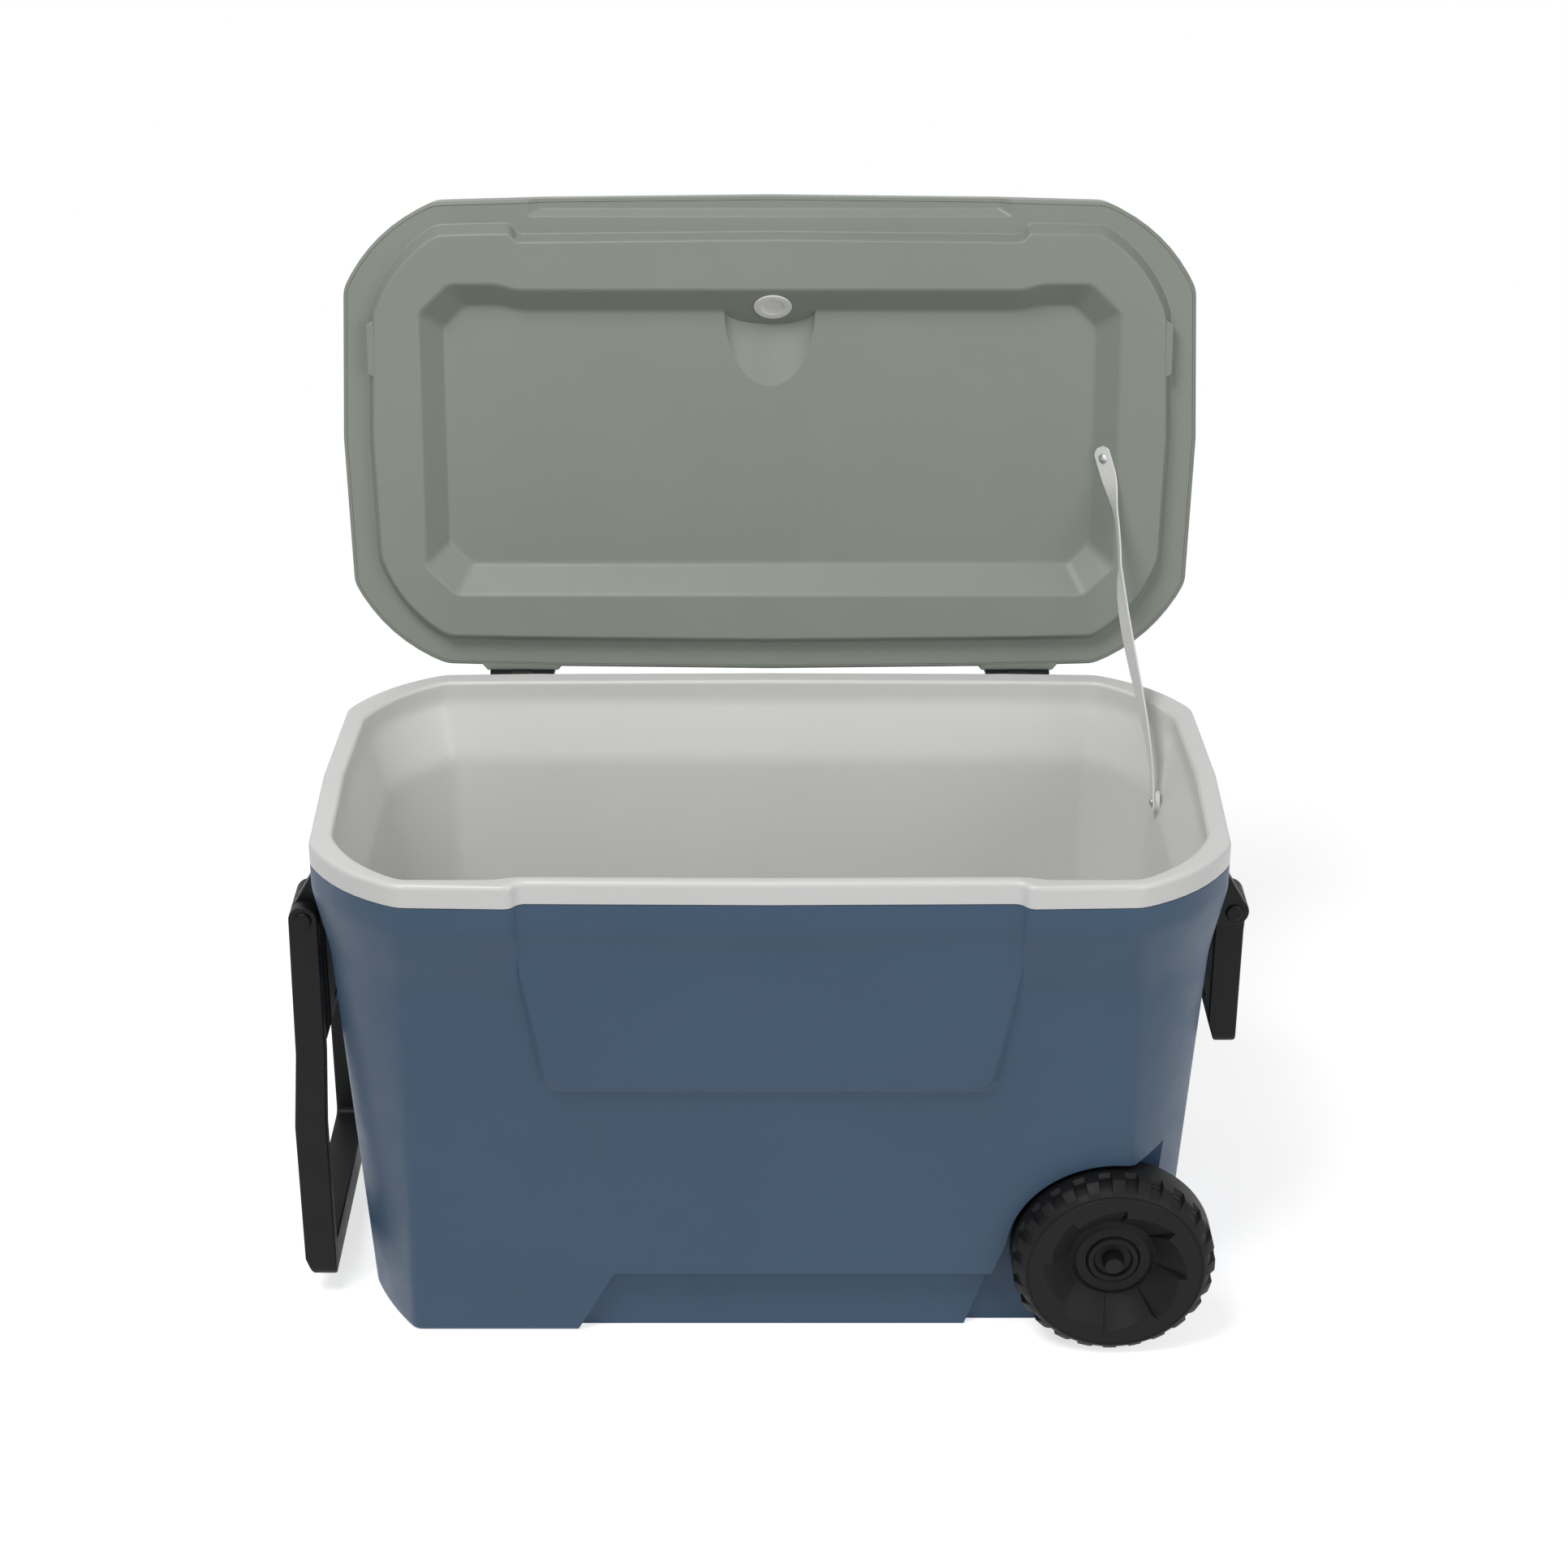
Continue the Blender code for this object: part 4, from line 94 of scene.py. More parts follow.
# Chest outline at the rim, and the walls below it
RIM_HALF_X = 0.354
RIM_HALF_Y = 0.195
RIM_CUT_X = 0.075
RIM_CUT_Y = 0.071
RIM_BULGE = 0.004
RIM_TOP = 0.431
RIM_FOOT = 0.412
RIM_ROUND = 0.0045
MOUTH_ROUND = 0.0035
CORNER_ROUND = 0.006
CUT_BOW_SHARE = 0.095
WALL_TOP_BOW_SHARE = 0.08
FOOT_BOW_SHARE = 0.04
CUT_STEPS = 8
SET_BACK = 0.0085
SET_HALF = 0.188
SET_RAMP = 0.0065
RAMP_ROUND_SHARE = 0.46
COLLAR_FOOT = 0.3905
WALL_TOP = 0.3355
WALL_TOP_PLAN = (0.3435, 0.179, 0.179, 0.062, 0.060, 0.001)
FOOT_PLAN = (0.3285, 0.1572, 0.1572, 0.039, 0.070, 0.0)
WALL_CREASE = 0.012
COLLAR_CREASE = 0.006

# Front panel and the recess below it
PANEL_TOP_HALF_X = 0.198
PANEL_FOOT_HALF_X = 0.171
PANEL_FOOT_Z = 0.246
PANEL_LEDGE = 0.009
PANEL_PROUD = 0.007
PANEL_SIDE_RUN = 0.006
RECESS_FOOT_X = -0.157
RECESS_TOP_X = -0.126
RECESS_TOP_Z = 0.0585
RECESS_DEPTH = 0.010
PANEL_ROUND = 0.003
RECESS_ROUND = 0.003
PANEL_CORNER = 0.012
PANEL_BACK = 0.030
PANEL_TOP_SINK = 0.001

# Tub
TUB_TOP_PLAN = (0.337, 0.1827, 0.176, 0.0593, 0.073, 0.0035, 0.0065, 0.192, 0.019)
TUB_SHOULDER_PLAN = (0.321, 0.161, 0.161, 0.052, 0.058, 0.0)
TUB_FOOT_PLAN = (0.306, 0.139, 0.139, 0.034, 0.050, 0.0)
TUB_THROAT = 0.018
TUB_SHOULDER_Z = 0.365
TUB_FLOOR_Z = 0.042
HUMP_X = 0.166
HUMP_Y = 0.122
HUMP_Z = 0.190
STEP_X = 0.240
STEP_Z = 0.112
NUB_FRONT_Y = -0.098
NUB_REAR_Y = -0.054
NUB_HEIGHT = 0.007
NUB_PROUD = 0.002
NUB_DROP = 0.0105
NUB_WALL_X = 0.3402
HUMP_ROUND = 0.005
FLOOR_ROUND = 0.008
SHOULDER_CREASE = 0.008
THROAT_CREASE = 0.006

# Lid, measured as if closed
HINGE_AXIS = Vector((0, 0.2045, 0.4265))
LID_OPEN = math.radians(99.5)
LID_PLANE = RIM_TOP + GAP
LID_PLAN = (0.3558, 0.1968, 0.1968, 0.0765, 0.0715, 0.0045)
LID_HEIGHT = 0.046
LID_EDGE_ROUND = 0.010
LID_BORDER = 0.030
LID_BORDER_DROP = 0.003
LID_FLANGE = 0.0025
PLUG_PLAN = (0.3350, 0.1783, 0.1738, 0.0575, 0.071, 0.0035, 0.0092, 0.2100, 0.0050)
PLUG_FOOT_PLAN = (0.3295, 0.1711, 0.1683, 0.0545, 0.0675, 0.0035, 0.0072, 0.2100, 0.0050)
PLUG_DEPTH = 0.013
PLUG_ROUND = 0.0018
LID_TAB_HALF = 0.0365
LID_TAB_SLOPE = 0.006
LID_TAB_Y = 0.2025
LID_LEAF_TOP = 0.030
LID_LOWER_ROUND = 0.002
PLUG_FLARE = 0.0015
LID_DRAFT = 0.0015

# Finger recess, pocket, scoop and catches of the lid's underside
POCKET_FLOOR = 0.007
GRIP_HALF_X = 0.2007
GRIP_NEAR_Y = 0.1849
GRIP_DEPTH = 0.0065
GRIP_SLOPE = 0.0059
GRIP_RAMP = 0.0107
GRIP_CORNER = 0.003
CATCH_ROOT_X = 0.330
CATCH_X = 0.3364
CATCH_FRONT_Y = -0.101
CATCH_REAR_Y = -0.052
CATCH_SLOPE = 0.004
CATCH_ROUND = 0.001
POCKET_PLAN = (0.293, 0.1309, 0.1333, 0.0255, 0.0245, 0.0, 0.0049, 0.2100, 0.0170)
POCKET_FLOOR_PLAN = (0.273, 0.1106, 0.1100, 0.018, 0.018, 0.0, 0.0041, 0.2100, 0.0170)
POCKET_CORNER = 0.005
POCKET_CORNERS = (0, 6, 7, 9, 10, 16, 17, 19)
POCKET_RAMP_POINTS = (1, 2, 4, 5)
POCKET_RAMP_ROUND = 0.005
POCKET_ROUND = 0.003
SCOOP_HALF_X = 0.038
SCOOP_DEPTH = 0.019
SCOOP_END_Y = -0.0428
SCOOP_STEPS = 32
GRIP_ROUND = 0.0012

# Filling plug
FILL_SHARE = 0.776
FILL_X = 0.0025
FILL_RADIUS = 0.0160
FILL_NECK = 0.0115
FILL_LENGTH = 0.010
FILL_CAP = 0.0018
FILL_LIP = 0.0005
FILL_DISH = 0.0014
FILL_DISH_RADIUS = 0.010

# Hinges
HINGE_X = 0.2133
HINGE_SEAT_HALF = 0.031
HINGE_SEAT_Y = 0.1985
LEAF_THICKNESS = 0.0025

# Wheels and their wells, whose arc has its start and end in degrees and its steps
WHEEL_RADIUS = 0.081
WHEEL_WIDTH = 0.045
WHEEL_X = 0.275
WHEEL_FACE_Y = 0.191
WELL_WALL_Y = 0.140
WELL_CLEARANCE = 0.0045
WELL_SLANT_FOOT_X = 0.159
WELL_END_Z = 0.190
AXLE_RADIUS = 0.005
WELL_ARC = (80, 174, 28)

# A wheel's section and its lugs, with turns in degrees
HUB_BACK_Y = WHEEL_FACE_Y - WHEEL_WIDTH
HUB_SINK = 0.016
HUB_RADIUS = 0.0205
HUB_RECESS = 0.0025
HUB_RECESS_RADIUS = 0.0145
HUB_RING_RADIUS = 0.0305
DISH_FOOT_RADIUS = 0.035
DISH_FOOT_SINK = 0.020
FACE_INNER_WIDE = 0.057
FACE_INNER_NARROW = 0.050
FACE_LIP = 0.002
FACE_RADIUS = 0.0695
SHOULDER_RADIUS = 0.0760
SHOULDER_SINK = 0.011
SHOULDER_FIRST_SHARE = 0.35
BACK_SHOULDER = 0.006
BACK_RING_RADIUS = 0.060
BACK_DISH_DEPTH = 0.014
BACK_CORNER_SHARE = 0.3
WHEEL_LIP = 0.0008
LUG_COUNT = 24
FACET_COUNT = 8
LUG_SHARE = 0.56
LUG_TURN = 0.35
LUG_RISE_SHARE = 0.7
LUG_DEPTH = 0.0030
LUG_LENGTH = 0.019
LUG_TOE_RADIUS = 0.0735
LUG_MIDDLE_SHARE = 0.8
STEP_TURN = 0.5
FULL_TURN = 360

# Pivots and brackets, whose arcs have their start and end in degrees and their steps
PIVOT_X = 0.3645
PIVOT_Z = 0.356
EYE_RADIUS = 0.0115
BRACKET_SEAT_X = 0.3445
BRACKET_HALF_Y = 0.100
BRACKET_TOP_Z = 0.398
BRACKET_FOOT_Z = 0.3445
EAR_INNER_Y = 0.086
EAR_OUTER_Y = 0.098
EAR_CLEARANCE = 0.0005
BRACKET_PLATE = 0.005
BRACKET_TOP_RUN = 0.008
BRACKET_ROUND = 0.0012
BRACKET_SCREW_Y = 0.035
BRACKET_SCREW_Z = 0.384
EYE_ARC = (0, 180, 20)
EAR_ARC = (-90, 50, 16)

# Carry handles and tow handle
CARRY_ARM = 0.0255
CARRY_INNER_X = 0.3520
CARRY_OUTER_X = 0.3750
CARRY_FOOT_Z = 0.229
CARRY_BAR = 0.028
CARRY_CORNER = 0.010
CARRY_CHAMFER_RUN = 0.006
CARRY_CHAMFER_RISE = 0.020
CARRY_FOOT_CHAMFER = 0.003
CARRY_ROUND = 0.0016
TOW_ARM = 0.0135
TOW_FOOT_Z = 0.020
TOW_BAR = 0.030
TOW_CORNER = 0.012
TOW_KINK_TOP_Z = 0.234
TOW_KINK_FOOT_Z = 0.166
TOW_UPPER_INNER_X = 0.3545
TOW_UPPER_OUTER_X = 0.3783
TOW_LOWER_INNER_X = 0.3580
TOW_LOWER_OUTER_X = 0.3835
TOW_CHAMFER_RUN = 0.006
TOW_CHAMFER_RISE = 0.018
TOW_ROUND = 0.0016
U_CORNER_STEPS = 6

# Pivot pins
PIN_RADIUS = 0.004
PIN_HEAD = 0.007
PIN_HEAD_THICKNESS = 0.002
PIN_LIP = 0.0004
PIN_DOME_SHARE = 0.5

# Screws: head radius, head height, shank radius, and grip behind the plate
SCREW_SPACING = 0.036
TUB_SCREW_Z = 0.4015
LID_SCREW_RISE = 0.020
SCREW_SIDES = 32
CROSS_WIDTH_SHARE = 0.12
CROSS_LENGTH_SHARE = 0.55
CROSS_FLOOR_SHARE = 0.45
CROSS_TIP_SHARE = 0.08
HINGE_SCREW = (0.0036, 0.0014, 0.0016, 0.004)
BRACKET_SCREW = (0.0045, 0.002, 0.002, 0.004)
STRAP_SCREW = (0.0042, 0.0018, 0.0018, 0.004)

# Strap
STRAP_WIDTH = 0.017
STRAP_THICKNESS = 0.0014
STRAP_BOSS_X = 0.3190
STRAP_TUB_Y = 0.067
STRAP_TUB_Z = 0.371
STRAP_BOSS_RADIUS = 0.0095
STRAP_TAB = 0.010
STRAP_STEPS = 40
STRAP_EDGE = 0.0004
STRAP_NOSE = 0.006
STRAP_TIP_SHARE = 0.15
STRAP_LID_Y = 0.0168
STRAP_BOSS_LENGTH = 0.004
STRAP_MIDDLE = Vector((0.2946, 0.183, 0.534))
STRAP_TURN_SHARE = 0.5
STRAP_LID_SHARE = 0.5
STRAP_TAB_SHARES = (-1.0, -0.95, -0.85, -0.7, -0.5, -0.25, 0.0, 0.33, 0.66)

# Drain
DRAIN_SEAT_X = 0.3190
DRAIN_Z = 0.066
DRAIN_POCKET_RADIUS = 0.024
DRAIN_TUBE_RADIUS = 0.0095

# Floor and light: each lamp has its place, its size and its power
FLOOR_REACH = 1.4
FLOOR_GREY = 0.82
FLOOR_GLOW = 0.66
WORLD_LIGHT = 0.22
FLOOR_ROUGHNESS = 0.9
PURE_WHITE = (1, 1, 1, 1)
LAMP_TARGET = (0, 0, 0.3)
LAMPS = {"key": ((-0.9, -1.2, 3.0), 1.2, 52), "fill": ((2.0, -2.2, 1.4), 1.6, 24)}

# Surfaces: a noise has its scale and detail, and the metal its grain, the grain's depth and mottling
PLAIN_SHEEN = 0.5
NOISE_RANGE = (0.3, 0.7)
MOTTLE_NOISE = (7, 3)
GLOSS_NOISE = (40, 4)
GLOSS_SPREAD = 0.04
GRAIN_DETAIL = 2
METAL_SURFACE = (900, 0.00001, 0.05)


def skin(bm, rings, closed=False):
    """Faces between rings of equally many points. A closed skin also joins its last ring to its first."""
    rows = [[bm.verts.new(point) for point in ring] for ring in rings]
    count = len(rows[0])
    following = rows[1:] + rows[:1] if closed else rows[1:]
    for low, high in zip(rows, following):
        for here in range(count):
            beyond = (here + 1) % count
            bm.faces.new((low[here], low[beyond], high[beyond], high[here]))
    return rows


def loft(rings):
    """A closed solid through rings of equally many points, with its first and last ring capped."""
    bm = bmesh.new()
    rows = skin(bm, rings)
    bm.faces.new(rows[0][::-1])
    bm.faces.new(rows[-1])
    bmesh.ops.remove_doubles(bm, verts=bm.verts[:], dist=MERGE_DISTANCE)
    sides = [face for face in bm.faces if len(face.verts) == 4]
    bmesh.ops.connect_verts_nonplanar(bm, angle_limit=TWIST_ANGLE, faces=sides)
    bmesh.ops.recalc_face_normals(bm, faces=bm.faces[:])
    return bm


def prism(outline, axis, low, high):
    """A flat outline drawn across an axis and stretched along it. Its two numbers are in X, Y, Z order."""
    place = "XYZ".index(axis)
    return loft([[(*point[:place], along, *point[place:]) for point in outline] for along in (low, high)])


def box(low, high):
    bm = bmesh.new()
    bmesh.ops.create_cube(bm, size=1)
    for vert in bm.verts:
        vert.co = [high[i] if vert.co[i] > 0 else low[i] for i in range(3)]
    return bm


def lathe(start, outward, profile, sides=ROUND_SIDES):
    """A solid turned about a line: the profile gives pairs of radius and distance along the line."""
    start, outward = Vector(start), Vector(outward).normalized()
    turn = outward.to_track_quat("Z", "Y").to_matrix()
    angles = [math.tau * step / sides for step in range(sides)]
    return loft([
        [
            start + outward * along + turn @ Vector((radius * math.cos(a), radius * math.sin(a), 0))
            for a in angles
        ]
        for radius, along in profile
    ])


def rod(start, end, radius):
    start, end = Vector(start), Vector(end)
    run = end - start
    return lathe(start, run, [(radius, 0), (radius, run.length)])


def arc(centre, radius, start, end, steps):
    """Points on a circle, from a start angle to an end angle in degrees."""
    angles = [math.radians(start + (end - start) * step / steps) for step in range(steps + 1)]
    return [(centre[0] + radius * math.cos(a), centre[1] + radius * math.sin(a)) for a in angles]


def softly(rings, lengths, steps=ROUND_STEPS):
    """Rounds the bends of a loft at the rings named in lengths, each over the given length."""
    shares = [step / steps for step in range(steps + 1)]
    result = []
    for index, ring in enumerate(rings):
        if index not in lengths:
            result.append(ring)
            continue
        rows = []
        for below, here, above in zip(rings[index - 1], ring, rings[(index + 1) % len(rings)]):
            here = Vector(here)
            start = here + (Vector(below) - here).normalized() * lengths[index]
            end = here + (Vector(above) - here).normalized() * lengths[index]
            rows.append([
                start * (1 - share) ** 2 + here * 2 * share * (1 - share) + end * share**2
                for share in shares
            ])
        result += [list(points) for points in zip(*rows)]
    return result


def softened(outline, lengths, steps=ROUND_STEPS):
    """Rounds the corners named in lengths, each over the given length of its two sides."""
    return [tuple(ring[0]) for ring in softly([[point] for point in outline], lengths, steps)]


def grown(outline, distance):
    """An outline, drawn anticlockwise, moved outwards by a distance along its own normals."""
    result = []
    count = len(outline)
    for index, point in enumerate(outline):
        here = Vector(point)
        before = (here - Vector(outline[index - 1])).normalized()
        after = (Vector(outline[(index + 1) % count]) - here).normalized()
        normal_before = Vector((before.y, -before.x))
        normal_after = Vector((after.y, -after.x))
        mitre = (normal_before + normal_after) / (1 + normal_before.dot(normal_after))
        result.append(tuple(here + mitre * distance))
    return result


def bowed(start, end, share):
    """Points between two others that bow out, to the right of the way, by a share of its length."""
    start, across = Vector(start), Vector(end) - Vector(start)
    outward = Vector((across.y, -across.x))
    result = []
    for step in range(1, CUT_STEPS):
        place = step / CUT_STEPS
        result.append(tuple(start + across * place + outward * share * (1 - (2 * place - 1) ** 2)))
    return result


def plan(half_x, front, rear, cut_x, cut_y, bulge, set_back=0, set_half=SET_HALF, set_ramp=SET_RAMP,
         share=CUT_BOW_SHARE):
    """The chest's outline from above: a rectangle with bowed cuts at its corners and a set-back front.

    The sizes are half its length, its front and rear depth, the cuts along X and Y, the bulge of its sides,
    and the front's set-back with the half length and the ramp of it. The outline runs anticlockwise from
    the front left. A share of zero gives straight cuts and bare corners.
    """
    inner_x = half_x - cut_x
    ramp_x = set_half + set_ramp
    stations = [-inner_x, -ramp_x, -set_half, 0, set_half, ramp_x, inner_x]

    def bow(place):
        return bulge * (1 - place**2)

    front_side = []
    for x in stations:
        sunk = set_back if abs(x) <= set_half else 0
        front_side.append((x, -front - bow(x / inner_x) + sunk))
    rear_side = [(x, rear + bow(x / inner_x)) for x in reversed(stations)]
    right_side = []
    for place in (0, 1 / 2, 1):
        y = -front + cut_y + (front + rear - 2 * cut_y) * place
        right_side.append((half_x + bow(2 * place - 1), y))
    left_side = [(-x, y) for x, y in reversed(right_side)]
    sides = [front_side, right_side, rear_side, left_side]
    if not share:
        return sum(sides, [])
    ramp = (Vector(front_side[1]) - Vector(front_side[2])).length * RAMP_ROUND_SHARE
    lengths = dict.fromkeys((1, 2, 4, 5), ramp)
    points = []
    for side, following in zip(sides, sides[1:] + sides[:1]):
        lengths[len(points)] = CORNER_ROUND
        points += side
        lengths[len(points) - 1] = CORNER_ROUND
        points += bowed(side[-1], following[0], share)
    return softened(points, lengths)


def inset_plan(sizes, distance, share=CUT_BOW_SHARE):
    """A plan drawn smaller by a distance on every side, with its corner cuts shortened to suit."""
    half_x, front, rear, cut_x, cut_y, *others = sizes
    turn = math.atan2(cut_y, cut_x)
    cut_x -= distance * (1 - math.tan(turn / 2))
    cut_y -= distance * (1 - math.tan((math.pi / 2 - turn) / 2))
    return plan(half_x - distance, front - distance, rear - distance, cut_x, cut_y, *others, share=share)


def level(outline, z):
    return [(x, y, z) for x, y in outline]


def span(side, near, far):
    """The two ends, in order, of a stretch that lies on one side of the middle."""
    return sorted((side * near, side * far))


def mirrored(points, side):
    if side > 0:
        return points
    return [(-first, second) for first, second in reversed(points)]


def between(low, high, share):
    return [tuple(Vector(a).lerp(Vector(b), share)) for a, b in zip(low, high)]


def filled(rings, spacing):
    """Adds rings between those of a loft that stand further apart than the spacing."""
    result = [rings[0]]
    for low, high in zip(rings, rings[1:]):
        gap = max((Vector(a) - Vector(b)).length for a, b in zip(low, high))
        parts = max(1, math.ceil(gap / spacing))
        result += [between(low, high, part / parts) for part in range(1, parts + 1)]
    return result


def dense(outline):
    """Adds points along the long sides of an outline, so that it can follow a curved surface."""
    result = []
    for index, point in enumerate(outline):
        after = outline[(index + 1) % len(outline)]
        parts = max(1, round((Vector(after) - Vector(point)).length / RING_SPACING))
        result += [tuple(Vector(point).lerp(Vector(after), part / parts)) for part in range(parts)]
    return result


def hollow(mouth, floor, mouth_z, floor_z, radius):
    """A cutter for a pocket: it flares softly out of its mouth and rounds into its flat floor."""
    away = OVERRUN if mouth_z < floor_z else -OVERRUN
    wide = grown(mouth, radius)
    rings = [
        level(wide, mouth_z - away),
        level(wide, mouth_z - math.copysign(GAP, away)),
        level(mouth, mouth_z),
        level(floor, floor_z),
        level(grown(floor, -radius), floor_z),
    ]
    return loft(softly(rings, {2: radius * FLARE_SHARE, 3: radius * FLARE_SHARE}))


def rim_plan():
    return plan(RIM_HALF_X, RIM_HALF_Y, RIM_HALF_Y, RIM_CUT_X, RIM_CUT_Y, RIM_BULGE, SET_BACK)


def placed(name, data):
    """A new object in the scene."""
    obj = bpy.data.objects.new(name, data)
    bpy.context.scene.collection.objects.link(obj)
    return obj


def as_object(name, bm):
    mesh = bpy.data.meshes.new(name)
    bm.to_mesh(mesh)
    bm.free()
    return placed(name, mesh)


def applied(obj):
    """Bakes an object's modifiers into its mesh."""
    bpy.context.view_layer.update()
    graph = bpy.context.evaluated_depsgraph_get()
    mesh = bpy.data.meshes.new_from_object(obj.evaluated_get(graph))
    obj.modifiers.clear()
    old = obj.data
    obj.data = mesh
    bpy.data.meshes.remove(old)


def combined(base, operation, *shapes, thorough=False):
    """Adds solids to an object or cuts them from it, one after another, given as bmeshes or objects."""
    for shape in shapes:
        tool = shape if isinstance(shape, bpy.types.Object) else as_object("tool", shape)
        modifier = base.modifiers.new("step", "BOOLEAN")
        modifier.operation = operation
        modifier.object = tool
        modifier.solver = "EXACT"
        modifier.use_self = thorough
        applied(base)
        mesh = tool.data
        bpy.data.objects.remove(tool)
        bpy.data.meshes.remove(mesh)
    return base


def rounded(obj, radius_at, angle=EDGE_ANGLE):
    """Rounds a solid's edges, all by one radius or each by what a rule gives for its middle and itself."""
    bm = bmesh.new()
    bm.from_mesh(obj.data)
    bmesh.ops.remove_doubles(bm, verts=bm.verts[:], dist=CLEAN_DISTANCE)
    bmesh.ops.dissolve_limit(
        bm, angle_limit=CLEAN_ANGLE, verts=bm.verts[:], edges=bm.edges[:], delimit=set()
    )
    layer = bm.edges.layers.float.new("bevel_weight_edge")
    for edge in bm.edges:
        if len(edge.link_faces) != 2 or edge.calc_face_angle(0) < angle:
            continue
        middle = (edge.verts[0].co + edge.verts[1].co) / 2
        radius = radius_at(middle, edge) if callable(radius_at) else radius_at
        edge[layer] = radius / WIDEST_ROUND
    bm.to_mesh(obj.data)
    bm.free()
    bevel = obj.modifiers.new("rounded", "BEVEL")
    bevel.limit_method = "WEIGHT"
    bevel.width = WIDEST_ROUND
    bevel.segments = BEVEL_SEGMENTS
    bevel.use_clamp_overlap = False
    bevel.miter_outer = "MITER_ARC"
    applied(obj)
    return obj


def soft_box(low, high, radius):
    return rounded(as_object("soft_box", box(low, high)), radius)


def merged(obj):
    """Joins the flat pieces that the cuts have split, so that they shade evenly."""
    bm = bmesh.new()
    bm.from_mesh(obj.data)
    bmesh.ops.dissolve_limit(bm, angle_limit=FLAT_ANGLE, verts=bm.verts[:], edges=bm.edges[:], delimit=set())
    bmesh.ops.triangulate(bm, faces=[face for face in bm.faces if len(face.verts) > 4])
    bm.to_mesh(obj.data)
    bm.free()
    return obj


def shaded(obj, angle=SMOOTH_ANGLE):
    obj.data.shade_smooth()
    obj.data.set_sharp_from_angle(angle=angle)
    weighted = obj.modifiers.new("even_shading", "WEIGHTED_NORMAL")
    weighted.keep_sharp = True
    return obj


def dressed(obj, material, body, slot, *nodes):
    """Gives a finished piece its material and body, and lets it stand for CAD nodes."""
    obj.data.materials.clear()
    obj.data.materials.append(material)
    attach(obj, body)
    if nodes:
        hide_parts(*nodes)
    return obj


def opened(obj):
    """Turns a piece of the lid, drawn closed, to where it lies with the lid open."""
    to_axis = Matrix.Translation(-HINGE_AXIS)
    turn = Matrix.Translation(HINGE_AXIS) @ Matrix.Rotation(-LID_OPEN, 4, "X") @ to_axis
    obj.data.transform(turn)
    return obj


def opened_point(point):
    return HINGE_AXIS + Matrix.Rotation(-LID_OPEN, 3, "X") @ (Vector(point) - HINGE_AXIS)


